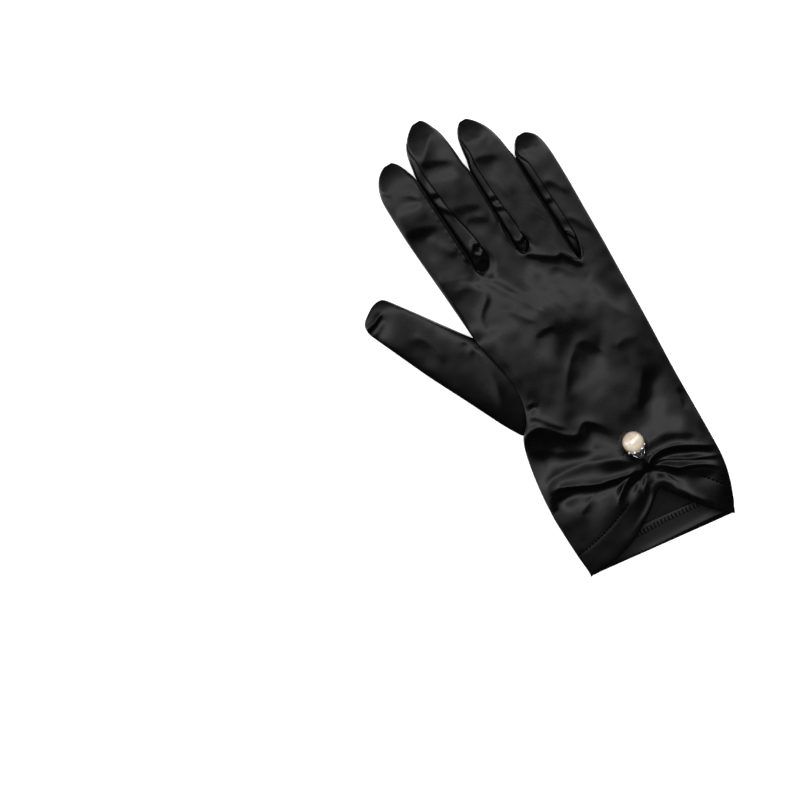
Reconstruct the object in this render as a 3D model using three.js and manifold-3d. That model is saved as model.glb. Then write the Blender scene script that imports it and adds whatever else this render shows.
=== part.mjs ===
// A right-hand wrist-length dress glove of black satin, lying back-up on a flat surface.
// Millimetres. X runs from the thumb side to the little-finger side, Y from the cuff to the
// fingertips, and Z up. The glove is hollow: a back panel and a palm panel of cloth, a thumb,
// and a folded strip (a fourchette) between each two fingers. At the back of the wrist the
// cuff is gathered up to a knot, and a pearl in a pierced cap hangs from it on a thread.
import * as THREE from 'three';
import { mergeVertices } from 'three/addons/utils/BufferGeometryUtils.js';
import Module from 'manifold-3d';

const wasm = await Module();
wasm.setup();
const { clamp, degToRad, lerp, smoothstep } = THREE.MathUtils;

// Hand
const HAND_LENGTH = 149; // middle of the hem to the crotch beside the index finger
const CUFF_WIDTH = 82;
const CUFF_SLANT = 8.8; // how much further up the hem ends on the thumb side
const KNUCKLE_SHIFT = 6.75; // the knuckles' middle, to the right of the cuff's
const HAND_LOFT = 12.5; // height of the hand as it lies
const FINGER_LOFT = 9.5;
const INDEX_WIDTH = 18.2; // at the root, as the other widths
const INDEX_LENGTH = 64; // from the notch beside it to its tip, as the other lengths
const MIDDLE_WIDTH = 20.3;
const MIDDLE_LENGTH = 75;
const RING_WIDTH = 20.9;
const RING_LENGTH = 66;
const LITTLE_WIDTH = 13.7;
const LITTLE_LENGTH = 62.5;
const FINGER_GAP = 0.8; // between two fingers at their roots

// Cloth
const CLOTH = 1.1; // wall
const SEAM_GAP = 0.3; // between pieces that are sewn together
const HEM_DEPTH = 13; // how far the hem is turned in
const TIP_LOFT = 2 * CLOTH + SEAM_GAP; // two walls, seamed flat

// Thumb
const THUMB_LENGTH = 68;
const THUMB_WIDTH = 26;
const THUMB_LOFT = 8.6;
const THUMB_SPREAD = 31; // degrees between the thumb and the hand
const THUMB_TUCK = 3; // how far the thumb reaches in under the hand's edge

// Gather and pearl
const KNOT_SIDE = 7.8; // the knot, to the right of the cuff's middle
const KNOT_UP = 33.4; // the knot, above the hem
const GATHER_HEIGHT = 11.5; // all the cloth that is drawn up into the knot
const KNOT_LENGTH = 2.6;
const KNOT_WIDTH = 2.2;
const KNOT_HEIGHT = 1.6;
const PEARL_DIAMETER = 10;
const PEARL_HANG = 14.6; // the pearl's middle beyond the knot
const THREAD_DIAMETER = 0.9;
const CAP_LENGTH = 4.8;
const CAP_RIM_DIAMETER = 6.7;
const CAP_TIP_DIAMETER = 3;
const CAP_WALL = 0.6;
const CAP_PETALS = 6;
const PETAL_DIAMETER = 1.5;

// Fingers, from the thumb side. The crotch is the height of the notch on the finger's right, as
// a share of the hand's length.
const FINGERS = [
  { name: 'index', width: INDEX_WIDTH, length: INDEX_LENGTH, crotch: 1.0 },
  { name: 'middle', width: MIDDLE_WIDTH, length: MIDDLE_LENGTH, crotch: 0.993 },
  { name: 'ring', width: RING_WIDTH, length: RING_LENGTH, crotch: 0.888 },
  { name: 'little', width: LITTLE_WIDTH, length: LITTLE_LENGTH, crotch: 0.88 },
];
const INDEX_ROOT = 1.007; // where the index finger starts on its free side, as such a share

// Outlines of the fingers as they lie: the left and right edges as shares of the width at the
// root, counted from the root's left end, at shares of the length.
const FINGER_OUTLINES = {
  index: [
    { along: 0, left: 0, right: 1 },
    { along: 0.17, left: -0.044, right: 0.99 },
    { along: 0.48, left: -0.12, right: 0.94 },
    { along: 0.8, left: -0.13, right: 0.885 },
    { along: 0.88, left: -0.05, right: 0.83 },
    { along: 0.93, left: 0.05, right: 0.775 },
    { along: 0.97, left: 0.165, right: 0.7 },
    { along: 1, left: 0.35, right: 0.593 },
  ],
  middle: [
    { along: 0, left: 0, right: 1 },
    { along: 0.15, left: -0.015, right: 0.98 },
    { along: 0.42, left: -0.065, right: 0.985 },
    { along: 0.7, left: -0.11, right: 0.96 },
    { along: 0.8, left: -0.08, right: 0.925 },
    { along: 0.88, left: 0, right: 0.88 },
    { along: 0.93, left: 0.12, right: 0.8 },
    { along: 0.97, left: 0.26, right: 0.74 },
    { along: 1, left: 0.42, right: 0.64 },
  ],
  ring: [
    { along: 0, left: 0, right: 1 },
    { along: 0.18, left: -0.01, right: 1 },
    { along: 0.45, left: 0.01, right: 0.98 },
    { along: 0.7, left: 0.01, right: 0.95 },
    { along: 0.8, left: 0.05, right: 0.91 },
    { along: 0.88, left: 0.09, right: 0.83 },
    { along: 0.93, left: 0.14, right: 0.735 },
    { along: 0.97, left: 0.215, right: 0.62 },
    { along: 1, left: 0.32, right: 0.49 },
  ],
  little: [
    { along: 0, left: 0, right: 1 },
    { along: 0.3, left: 0, right: 1.02 },
    { along: 0.6, left: -0.03, right: 1.06 },
    { along: 0.8, left: -0.06, right: 1.04 },
    { along: 0.88, left: -0.04, right: 1 },
    { along: 0.93, left: 0.05, right: 0.94 },
    { along: 0.97, left: 0.14, right: 0.82 },
    { along: 1, left: 0.31, right: 0.61 },
  ],
};

// Seams between a finger's back and the strip on its left, as shares of the width in from the
// finger's left edge.
const STRIP_SEAMS = {
  middle: [
    { along: 0, inward: 0.1 },
    { along: 0.07, inward: 0.2 },
    { along: 0.16, inward: 0.39 },
    { along: 0.28, inward: 0.3 },
    { along: 0.42, inward: 0.2 },
    { along: 0.7, inward: 0.15 },
    { along: 1, inward: 0.15 },
  ],
  ring: [
    { along: 0, inward: 0.12 },
    { along: 0.07, inward: 0.2 },
    { along: 0.16, inward: 0.25 },
    { along: 0.35, inward: 0.18 },
    { along: 0.6, inward: 0.13 },
    { along: 1, inward: 0.15 },
  ],
  little: [
    { along: 0, inward: 0.12 },
    { along: 0.07, inward: 0.2 },
    { along: 0.16, inward: 0.29 },
    { along: 0.36, inward: 0.27 },
    { along: 0.6, inward: 0.22 },
    { along: 1, inward: 0.22 },
  ],
};

// Height of a finger along its length, from the flat seam at its tip (0) to its loft (1).
const FINGER_HEIGHTS = [
  { along: 0, loft: 1 },
  { along: 0.55, loft: 0.98 },
  { along: 0.8, loft: 0.86 },
  { along: 0.92, loft: 0.55 },
  { along: 1, loft: 0 },
];

// Sides of the hand from the hem to the finger roots, as shares of its half width there.
const HAND_SIDES = [
  { along: 0, thumbSide: -0.963, littleSide: 0.78 },
  { along: 0.09, thumbSide: -1.01, littleSide: 0.912 },
  { along: 0.16, thumbSide: -1.035, littleSide: 0.969 },
  { along: 0.21, thumbSide: -1.053, littleSide: 0.983 },
  { along: 0.3, thumbSide: -1.051, littleSide: 0.984 },
  { along: 0.384, thumbSide: -1.029, littleSide: 0.983 },
  { along: 0.475, thumbSide: -0.973, littleSide: 0.981 },
  { along: 0.516, thumbSide: -0.809, littleSide: 0.98 },
  { along: 0.567, thumbSide: -0.749, littleSide: 0.982 },
  { along: 0.624, thumbSide: -0.742, littleSide: 0.988 },
  { along: 0.704, thumbSide: -0.795, littleSide: 0.994 },
  { along: 0.76, thumbSide: -0.868, littleSide: 0.996 },
  { along: 0.843, thumbSide: -0.928, littleSide: 0.997 },
  { along: 1, thumbSide: -1, littleSide: 1 },
];
const THUMB_HOLE = { from: 0.455, to: 0.86 }; // along the thumb side, in the same shares

const THUMB_SEAT = { from: 0.485, to: 0.835 }; // the thumb's own base in that hole

// Crown of the back of the hand, as a share of its loft.
const HAND_HEIGHTS = [
  { along: 0, loft: 0.84 },
  { along: 0.12, loft: 0.9 },
  { along: 0.35, loft: 1 },
  { along: 0.75, loft: 0.98 },
  { along: 1, loft: 0.86 },
];

// Edges of the thumb from its seam to its tip: the cuff edge and the finger edge, along and
// out from the thumb's axis, as shares of its length and width.
const THUMB_EDGES = [
  { along: 0, cuffAlong: -0.33, cuffOut: 0.63, fingerAlong: 0.323, fingerOut: -0.593 },
  { along: 0.15, cuffAlong: -0.17, cuffOut: 0.595, fingerAlong: 0.42, fingerOut: -0.57 },
  { along: 0.35, cuffAlong: 0.108, cuffOut: 0.505, fingerAlong: 0.54, fingerOut: -0.535 },
  { along: 0.6, cuffAlong: 0.436, cuffOut: 0.42, fingerAlong: 0.7, fingerOut: -0.495 },
  { along: 0.82, cuffAlong: 0.74, cuffOut: 0.31, fingerAlong: 0.86, fingerOut: -0.455 },
  { along: 0.93, cuffAlong: 0.89, cuffOut: 0.258, fingerAlong: 0.955, fingerOut: -0.433 },
  { along: 0.98, cuffAlong: 0.965, cuffOut: 0.23, fingerAlong: 0.995, fingerOut: -0.37 },
  { along: 1, cuffAlong: 1, cuffOut: 0.12, fingerAlong: 1.008, fingerOut: -0.22 },
];

// Folds in the back of the hand. Each runs from one point through another to a third, all as
// shares of the half cuff width and of the hand's length. Width and height are shares of the
// hand's loft, and a negative height is a valley.
const FOLDS = [
  { name: 'upper left gather, lower edge', width: 0.18, height: 0.15,
    from: [0.19, 0.224], via: [-0.3, 0.262], to: [-0.856, 0.317] },
  { name: 'upper left gather, upper edge', width: 0.26, height: 0.17,
    from: [0.11, 0.25], via: [-0.2, 0.32], to: [-0.72, 0.362] },
  { name: 'hollow under it', width: 0.17, height: -0.14,
    from: [0.0, 0.237], via: [-0.37, 0.25], to: [-0.83, 0.288] },
  { name: 'middle left gather', width: 0.16, height: 0.15,
    from: [0.17, 0.222], via: [-0.04, 0.24], to: [-0.27, 0.178] },
  { name: 'lower left gather', width: 0.17, height: 0.11,
    from: [0.16, 0.21], via: [0.0, 0.185], to: [-0.15, 0.14] },
  { name: 'upper right gather', width: 0.24, height: 0.12,
    from: [0.22, 0.255], via: [0.53, 0.3], to: [0.88, 0.25] },
  { name: 'right gather', width: 0.16, height: 0.17,
    from: [0.2, 0.228], via: [0.5, 0.272], to: [0.97, 0.18] },
  { name: 'hollow under it', width: 0.14, height: -0.12,
    from: [0.3, 0.238], via: [0.68, 0.208], to: [0.97, 0.16] },
  { name: 'lower right gather', width: 0.16, height: 0.15,
    from: [0.2, 0.225], via: [0.46, 0.19], to: [0.84, 0.12] },
  { name: 'right hem gather', width: 0.17, height: 0.12,
    from: [0.2, 0.215], via: [0.34, 0.135], to: [0.55, 0.06] },
  { name: 'ridge over the wrist', width: 0.24, height: 0.16,
    from: [-0.61, 0.54], via: [-0.28, 0.375], to: [0.03, 0.39] },
  { name: 'dip under the ridge', width: 0.45, height: -0.17,
    from: [-0.8, 0.46], via: [-0.45, 0.4], to: [-0.05, 0.375] },
  { name: 'dip in the middle', width: 0.36, height: -0.16,
    from: [-0.07, 0.58], via: [0.21, 0.68], to: [0.46, 0.57] },
  { name: 'swell beside the thumb', width: 0.42, height: 0.12,
    from: [-0.27, 0.72], via: [-0.1, 0.6], to: [-0.27, 0.49] },
  { name: 'fold along the thumb seam', width: 0.26, height: 0.11,
    from: [-0.5, 0.83], via: [-0.53, 0.7], to: [-0.46, 0.59] },
  { name: 'crease from the index crotch', width: 0.22, height: -0.14,
    from: [-0.2, 0.97], via: [-0.07, 0.89], to: [0.08, 0.81] },
  { name: 'ridge beside that crease', width: 0.22, height: 0.1,
    from: [-0.08, 0.95], via: [0.05, 0.88], to: [0.17, 0.78] },
  { name: 'loop under the index finger', width: 0.26, height: 0.12,
    from: [-0.61, 0.87], via: [-0.33, 0.935], to: [-0.57, 1.02] },
  { name: 'drag towards the little finger', width: 0.34, height: -0.15,
    from: [0.29, 0.95], via: [0.6, 0.87], to: [0.94, 0.67] },
  { name: 'dip over the little side', width: 0.32, height: -0.12,
    from: [0.8, 0.48], via: [0.68, 0.43], to: [0.52, 0.36] },
];

// Shape of the cross sections
const SIDE_SEAM = 0.42; // height of the side seams, as a share of the loft
const HAND_ROUNDING = 2.7; // exponent of the rounded sides: 2 is an ellipse
const PALM_ROUNDING = 5;
const PALM_SINK = 0.12; // flattens the palm where it rests, as a share of the seam height
const RING_ROUNDING = { topLeft: 2.1, topRight: 2.7, bottom: 4 };
const BACK_SEAM_RIGHT = 0.4; // height of the seam on a finger's right, in its upper half
const PALM_SEAM = 0.55; // depth of the seams on both sides, in its lower half
const STRIPS_END = 0.97; // where their seams meet, as a share of the finger's length
const STRIP_TIP = 0.93; // where the strips end
const STRIP_TAPER = 0.8; // where they start to narrow
const CROTCH_NARROWING = 0.15; // how much narrower the strips are at the crotch
const CROTCH_DROP = 2.2; // depth of the rounded bottom between two fingers
const TIP_LIFT = 0.25; // how far a thinner section lifts off the surface, as a share of what it lost
const LIP_SHARE = 0.93; // height of the hand's edge over the thumb's hole, as a share of the loft
const HOLE_TAPER = 0.04; // over which the hole opens and closes, as a share of the hand's length
const KNOT_DIP_SHARE = 0.1; // depth of the cloth under the knot, as a share of the loft
const KNOT_CALM = 9; // distance from the knot at which the folds have their whole height
const GATHER_BELOW = 0.78; // share of the gather that lies on the hem's side of the knot
const HEM_SWEEP = { left: 2.3, right: 1.3 }; // how late the hem rises to the knot: 1 is straight
const THUMB_TIP_SHARE = 0.32; // height of the thumb's tip, as a share of its loft

// Meshes
const FINGER_CELLS = 6; // across each finger
const COLUMNS = FINGER_CELLS * FINGERS.length;
const BUNCH = 0.3; // share of the hand's length that is drawn up into the gather
const HEM_SHARE = HEM_DEPTH / HAND_LENGTH;
const BACK_ROWS = [
  0, HEM_SHARE * 0.35, HEM_SHARE * 0.7, HEM_SHARE,
  0.12, 0.15, 0.18, 0.21, 0.24, 0.27, 0.3, 0.34, 0.38, 0.43,
  0.475, 0.5, 0.53, 0.58, 0.63, 0.68, 0.73, 0.78, 0.815, 0.843, 0.88, 0.92, 0.96, 1,
];
const PALM_ROWS = [
  0, HEM_SHARE * 0.5, HEM_SHARE,
  0.16, 0.23, 0.3, 0.38, 0.475, 0.5, 0.53, 0.58, 0.63, 0.7, 0.78, 0.815, 0.843, 0.88, 0.92, 0.96, 1,
];
const FINGER_ROWS = [0, 0.07, 0.16, 0.28, 0.42, 0.56, 0.7, 0.8, 0.88, 0.93, 0.97, 1];
const STRIP_CELLS = 3; // across a fourchette
const TURN_STEPS = 4; // round the bottom of a fourchette
const THUMB_RING = 16;

/** The value of a column of a table, straight between its rows. */
function valueAt(rows, key, along) {
  const next = Math.max(1, rows.findIndex((row) => row.along >= along));
  const [a, b] = [rows[next - 1], rows[next]];
  return lerp(a[key], b[key], clamp((along - a.along) / (b.along - a.along), 0, 1));
}

/** Distance shares of a rounded profile: 0 at the sides and 1 over the middle. */
const rounded = (across, exponent) => (1 - Math.abs(2 * across - 1) ** exponent) ** (1 / exponent);

// Where the fingers stand

const knuckleWidth =
  FINGERS.reduce((sum, finger) => sum + finger.width, 0) + FINGER_GAP * (FINGERS.length - 1);
const knuckleLeft = KNUCKLE_SHIFT - knuckleWidth / 2;
FINGERS.forEach((finger, i) => {
  const before = FINGERS[i - 1];
  finger.rootLeft = before ? before.rootLeft + before.width + FINGER_GAP : knuckleLeft;
  finger.leftCrotch = (before ? before.crotch : INDEX_ROOT) * HAND_LENGTH;
  finger.rightCrotch = finger.crotch * HAND_LENGTH;
  finger.tip = Math.max(finger.leftCrotch, finger.rightCrotch) + finger.length;
});

/** A cross section of a tube of cloth: its two edges in plan, and its heights. */
function fingerSection(finger, along) {
  const rows = FINGER_OUTLINES[finger.name];
  const loft = lerp(TIP_LOFT, FINGER_LOFT, valueAt(FINGER_HEIGHTS, 'loft', along));
  const bottom = (FINGER_LOFT - loft) * TIP_LIFT;
  const seam = lerp(0.5, SIDE_SEAM, valueAt(FINGER_HEIGHTS, 'loft', along));
  return {
    left: new THREE.Vector2(
      finger.rootLeft + finger.width * valueAt(rows, 'left', along),
      lerp(finger.leftCrotch, finger.tip, along),
    ),
    right: new THREE.Vector2(
      finger.rootLeft + finger.width * valueAt(rows, 'right', along),
      lerp(finger.rightCrotch, finger.tip, along),
    ),
    bottom,
    middle: bottom + loft * seam,
    top: bottom + loft,
  };
}

/** A point of a section's outline at an angle: 0 is its right side and 90 degrees its top. */
function ringPoint(section, angle) {
  const [c, s] = [Math.cos(angle), Math.sin(angle)];
  const upper = c < 0 ? RING_ROUNDING.topLeft : RING_ROUNDING.topRight;
  const power = 2 / (s > 0 ? upper : RING_ROUNDING.bottom);
  const across = 0.5 + 0.5 * Math.sign(c) * Math.abs(c) ** power;
  const reach = Math.abs(s) ** power;
  const plan = section.left.clone().lerp(section.right, across);
  const z = lerp(section.middle, s > 0 ? section.top : section.bottom, reach);
  return new THREE.Vector3(plan.x, plan.y, z);
}

/** The angle at which a section's outline reaches a share of its upper or lower half. */
function seamAngle(share, side, half) {
  const upper = side === 'left' ? RING_ROUNDING.topLeft : RING_ROUNDING.topRight;
  const power = 2 / (half === 'top' ? upper : RING_ROUNDING.bottom);
  const rise = Math.asin(clamp(share, 0, 1) ** (1 / power)) * (half === 'top' ? 1 : -1);
  return side === 'left' ? Math.PI - rise : rise;
}

/** How far the strips between the fingers are open at a share of the length: 1 is full width. */
const stripSpread = (along) => 1 - smoothstep(along, STRIP_TAPER, STRIPS_END);

/** The angle next to another at which a section's outline is half a seam gap away. */
function besideSeam(section, angle, turn) {
  const line = ringPoint(section, angle);
  let [near, far] = [0, 0.3];
  for (let i = 0; i < 12; i++) {
    const half = (near + far) / 2;
    if (ringPoint(section, angle + turn * half).distanceTo(line) < SEAM_GAP / 2) near = half;
    else far = half;
  }
  return angle + turn * far;
}

/** Angles of a finger's seams. A side without a strip is seamed or folded at half height. */
function fingerSeams(finger, section, along) {
  const i = FINGERS.indexOf(finger);
  const spread = stripSpread(along);
  const seams = {};
  for (const side of ['left', 'right']) {
    const hasStrip = side === 'left' ? i > 0 : i < FINGERS.length - 1;
    const open = hasStrip ? spread : 0;
    const up = side === 'left' ? -1 : 1; // the way round from the strip to the back
    let backLine = seamAngle(open * BACK_SEAM_RIGHT, side, 'top');
    if (side === 'left' && hasStrip) {
      const inward = valueAt(STRIP_SEAMS[finger.name], 'inward', along);
      backLine = Math.PI - open * Math.acos((1 - 2 * inward) ** (RING_ROUNDING.topLeft / 2));
    }
    const palmLine = seamAngle(open * PALM_SEAM, side, 'bottom');
    seams[side] = {
      backLine,
      palmLine,
      back: besideSeam(section, backLine, up),
      stripTop: besideSeam(section, backLine, -up),
      stripBottom: besideSeam(section, palmLine, up),
      palm: besideSeam(section, palmLine, -up),
    };
  }
  return seams;
}

/** The direction square to a finger's skin at an angle round it. */
function fingerFacing(finger, angle, along) {
  const at = (turn, step) => ringPoint(fingerSection(finger, clamp(along + step, 0, 1)), angle + turn);
  const around = at(0.05, 0).sub(at(-0.05, 0));
  const facing = at(0, 0.02).sub(at(0, -0.02)).cross(around).normalize();
  if (along < STRIPS_END) return facing;
  // near the tip the two walls meet in a flat seam, and the wall goes in along it
  const [before, here] = [along - 0.03, along].map((share) => fingerSection(finger, share));
  const slope = (here.middle - before.middle) / (here.left.y - before.left.y);
  return facing.setZ(0).normalize().setZ(facing.y * slope);
}

/** A point on the back or the palm of a finger, counted across from its left seam. */
function fingerPoint(finger, half, across, along) {
  const section = fingerSection(finger, along);
  const seams = fingerSeams(finger, section, along);
  const from = seams.left[half];
  const to = half === 'back' ? seams.right.back : seams.right.palm + 2 * Math.PI;
  const point = ringPoint(section, lerp(from, to, across));
  if (across === 0) point.facing = fingerFacing(finger, seams.left[`${half}Line`], along);
  else if (across === 1) point.facing = fingerFacing(finger, seams.right[`${half}Line`], along);
  else if (along === 1) {
    point.setZ(half === 'back' ? section.top : section.bottom);
    point.facing = new THREE.Vector3(0, 0, half === 'back' ? 1 : -1);
  }
  return point;
}

/** The bottom of the notch between a finger and the next one, in the back or in the palm. */
function crotchPoint(i, half) {
  const a = fingerPoint(FINGERS[i], half, 1, 0);
  const b = fingerPoint(FINGERS[i + 1], half, 0, 0);
  return a.add(b).multiplyScalar(0.5).setY(FINGERS[i].rightCrotch - CROTCH_DROP);
}

/** The last row of the hand, where the fingers start: a point for each column. */
function rootRow(half) {
  return Array.from({ length: COLUMNS + 1 }, (_, k) => {
    const i = Math.min(Math.floor(k / FINGER_CELLS), FINGERS.length - 1);
    if (k > 0 && k < COLUMNS && k % FINGER_CELLS === 0) return crotchPoint(k / FINGER_CELLS - 1, half);
    return fingerPoint(FINGERS[i], half, k / FINGER_CELLS - i, 0);
  });
}

// The hand

const knot = new THREE.Vector2(KNOT_SIDE, KNOT_UP);
const handTop = { left: FINGERS[0].leftCrotch, right: FINGERS.at(-1).rightCrotch };

/** A point of the hand's edge in plan, at a share of the way from the hem to the fingers. */
function handEdge(side, along) {
  const half = lerp(CUFF_WIDTH, knuckleWidth, along) / 2;
  const hemY = (side === 'thumbSide' ? 0.5 : -0.5) * CUFF_SLANT;
  const topY = side === 'thumbSide' ? handTop.left : handTop.right;
  return new THREE.Vector2(
    KNUCKLE_SHIFT * along + half * valueAt(HAND_SIDES, side, along),
    lerp(hemY, topY, along),
  );
}

/** How far the hand's side is opened for the thumb: 0 is closed, and 1 open. */
function thumbHole(along) {
  const { from, to } = THUMB_HOLE;
  return smoothstep(along, from, from + HOLE_TAPER) * (1 - smoothstep(along, to - HOLE_TAPER, to));
}

/** A point whose wall goes in level where it lies on a side seam, but not at the thumb's hole. */
function seamed(point, k, along, up) {
  if (k !== 0 && k !== COLUMNS) return point;
  const side = k === 0 ? 'thumbSide' : 'littleSide';
  const run = handEdge(side, Math.min(along + 0.01, 1)).sub(handEdge(side, Math.max(along - 0.01, 0)));
  const out = new THREE.Vector3(run.y, -run.x, 0).normalize().multiplyScalar(k === 0 ? -1 : 1);
  const open = k === 0 ? thumbHole(along) : 0;
  point.facing = out.lerp(new THREE.Vector3(0, 0, up), open).normalize();
  return point;
}

/** Height that a fold adds at a point, from its distance to the fold's line. */
function foldHeight(fold, x, y) {
  const place = ([across, along]) => new THREE.Vector2(across * CUFF_WIDTH / 2, along * HAND_LENGTH);
  const [a, b, c] = [fold.from, fold.via, fold.to].map(place);
  const here = new THREE.Vector2(x, y);
  let nearest = Infinity;
  let at = 0;
  const steps = 16;
  for (let i = 0; i <= steps; i++) {
    const t = i / steps;
    // a curve through the three points
    const p = a.clone().multiplyScalar((1 - t) * (1 - 2 * t));
    p.addScaledVector(b, 4 * t * (1 - t)).addScaledVector(c, t * (2 * t - 1));
    const distance = p.distanceTo(here);
    if (distance < nearest) [nearest, at] = [distance, t];
  }
  const spread = nearest / (fold.width * HAND_LOFT);
  const ends = smoothstep(at, -0.1, 0.25) * (1 - 0.8 * smoothstep(at, 0.75, 1.05));
  return fold.height * HAND_LOFT * Math.exp(-spread * spread) * ends;
}

/** The line down the middle of the back, from the gather to the middle crotch. */
function backMiddle(along, root) {
  const start = knot.y - GATHER_BELOW * GATHER_HEIGHT;
  const end = start + GATHER_HEIGHT;
  const gathered = lerp(start, end, along / BUNCH);
  const free = lerp(end, root.y, (along - BUNCH) / (1 - BUNCH));
  return new THREE.Vector2(lerp(knot.x, root.x, along), along < BUNCH ? gathered : free);
}

/** Plan of the back at a column and a share along, before the fingers' roots pull it. */
function backPlan(k, along, root) {
  const middle = backMiddle(along, root);
  const leftHalf = k <= COLUMNS / 2;
  const edge = handEdge(leftHalf ? 'thumbSide' : 'littleSide', along);
  const inward = leftHalf ? (2 * k) / COLUMNS : 2 - (2 * k) / COLUMNS;
  // the hem sweeps up to the knot in a curve, and the rows above it run nearly straight
  const sweep = leftHalf
    ? lerp(HEM_SWEEP.left, 1, smoothstep(along, 0, 0.14))
    : lerp(HEM_SWEEP.right, 0.9, smoothstep(along, 0, 0.2));
  return new THREE.Vector2(lerp(edge.x, middle.x, inward), lerp(edge.y, middle.y, inward ** sweep));
}

const backRoots = rootRow('back');
const palmRoots = rootRow('palm');

function backPoint(k, along) {
  const root = backRoots[k];
  const middleRoot = backRoots[COLUMNS / 2];
  const plan = backPlan(k, along, middleRoot);
  const atRoot = backPlan(k, 1, middleRoot);
  plan.x += (root.x - atRoot.x) * along ** 2;
  plan.y += (root.y - atRoot.y) * along ** 3;

  const left = handEdge('thumbSide', along).x;
  const right = handEdge('littleSide', along).x;
  const across = clamp((plan.x - left) / (right - left), 0, 1);
  const seam = HAND_LOFT * SIDE_SEAM + SEAM_GAP / 2;
  const lip = lerp(seam, HAND_LOFT * LIP_SHARE, thumbHole(along));
  const side = across < 0.5 ? lip : seam;
  const crown = HAND_LOFT * valueAt(HAND_HEIGHTS, 'loft', along);
  let z = lerp(side, crown, rounded(across, HAND_ROUNDING));

  // the cloth dips a little where the knot ties it, and the folds die out at the edges
  const toKnot = plan.distanceTo(knot);
  const fade = smoothstep(Math.min(across, 1 - across), 0, 0.08) * (1 - smoothstep(along, 0.9, 0.99));
  const calm = smoothstep(toKnot, 0, KNOT_CALM);
  z -= KNOT_DIP_SHARE * HAND_LOFT * (1 - calm);
  z += fade * calm * FOLDS.reduce((sum, fold) => sum + foldHeight(fold, plan.x, plan.y), 0);
  const point = new THREE.Vector3(plan.x, plan.y, lerp(z, root.z, smoothstep(along, 0.8, 1)));
  return seamed(point, k, along, 1);
}

function palmPoint(k, along) {
  const root = palmRoots[k];
  const left = handEdge('thumbSide', along);
  const right = handEdge('littleSide', along);
  const across = k / COLUMNS;
  const plan = left.clone().lerp(right, across);
  const atRoot = handEdge('thumbSide', 1).lerp(handEdge('littleSide', 1), across);
  plan.x += (root.x - atRoot.x) * along ** 2;
  plan.y += (root.y - atRoot.y) * along ** 3;

  const seam = HAND_LOFT * SIDE_SEAM - SEAM_GAP / 2;
  const side = across < 0.5 ? seam * (1 - thumbHole(along)) : seam;
  const share = clamp((plan.x - left.x) / (right.x - left.x), 0, 1);
  const z = Math.max(0, lerp(side, -seam * PALM_SINK, rounded(share, PALM_ROUNDING)));
  const point = new THREE.Vector3(plan.x, plan.y, lerp(z, root.z, smoothstep(along, 0.8, 1)));
  return seamed(point, k, along, -1);
}

// Surfaces and walls

/** Two triangles for each cell between two rows of point numbers, turned to face up or down. */
function addCells(triangles, lower, upper, faceUp) {
  for (let k = 0; k + 1 < lower.length; k++) {
    const [a, b, c, d] = [lower[k], lower[k + 1], upper[k + 1], upper[k]];
    triangles.push(...(faceUp ? [[a, b, c], [a, c, d]] : [[a, c, b], [a, d, c]]));
  }
}

/** A surface from a table of points, row by row. */
function gridSurface(rows, faceUp) {
  const triangles = [];
  const wide = rows[0].length;
  for (let j = 0; j + 1 < rows.length; j++) {
    const numbers = (row) => rows[row].map((_, k) => row * wide + k);
    addCells(triangles, numbers(j), numbers(j + 1), faceUp);
  }
  return { points: rows.flat(), triangles };
}

/** The back or palm: the hand's rows, and then a strip for each finger beyond the last row. */
function panelSurface(half, rows, handPoint) {
  const faceUp = half === 'back';
  const points = [];
  const triangles = [];
  const add = (point) => points.push(point) - 1;
  let last;
  for (const along of rows) {
    const row = Array.from({ length: COLUMNS + 1 }, (_, k) => add(handPoint(k, along)));
    if (last) addCells(triangles, last, row, faceUp);
    last = row;
  }
  FINGERS.forEach((finger, i) => {
    let below = last.slice(i * FINGER_CELLS, (i + 1) * FINGER_CELLS + 1);
    for (const along of FINGER_ROWS.slice(1)) {
      const row = below.map((_, c) => add(fingerPoint(finger, half, c / FINGER_CELLS, along)));
      addCells(triangles, below, row, faceUp);
      below = row;
    }
  });
  return { points, triangles };
}

/** Directions square to a surface at its points. */
function surfaceNormals({ points, triangles }) {
  const normals = points.map(() => new THREE.Vector3());
  for (const [a, b, c] of triangles) {
    const side = points[c].clone().sub(points[a]);
    const face = points[b].clone().sub(points[a]).cross(side);
    for (const n of [a, b, c]) normals[n].add(face);
  }
  return normals.map((normal, n) => points[n].facing?.clone() ?? normal.normalize());
}

/** A surface moved inwards by a distance. */
function sunk(surface, depth) {
  const normals = surfaceNormals(surface);
  const points = surface.points.map((p, n) => p.clone().addScaledVector(normals[n], -depth));
  return { points, triangles: surface.triangles };
}

/** A wall of cloth: its outer surface, the same surface sunk by its thickness, and its edges. */
function clothWall(surface, thickness = CLOTH) {
  const inner = sunk(surface, thickness);
  const count = surface.points.length;
  const index = [];
  const edges = new Map();
  for (const [a, b, c] of surface.triangles) {
    index.push(a, b, c, a + count, c + count, b + count);
    for (const [p, q] of [[a, b], [b, c], [c, a]]) {
      if (!edges.delete(`${q},${p}`)) edges.set(`${p},${q}`, [p, q]);
    }
  }
  for (const [p, q] of edges.values()) index.push(q, p, p + count, q, p + count, q + count);
  const geometry = new THREE.BufferGeometry().setFromPoints([...surface.points, ...inner.points]);
  geometry.setIndex(index);
  geometry.computeVertexNormals();
  return geometry;
}

/** The turned-in hem: the first rows of a panel, sunk under it, without the two seamed sides. */
function hemSurface(panel, rows, faceUp) {
  const { points } = sunk(panel, CLOTH + SEAM_GAP);
  const strip = rows.filter((along) => along <= HEM_SHARE)
    .map((_, j) => points.slice(j * (COLUMNS + 1) + 1, (j + 1) * (COLUMNS + 1) - 1));
  return gridSurface(strip, faceUp);
}

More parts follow.
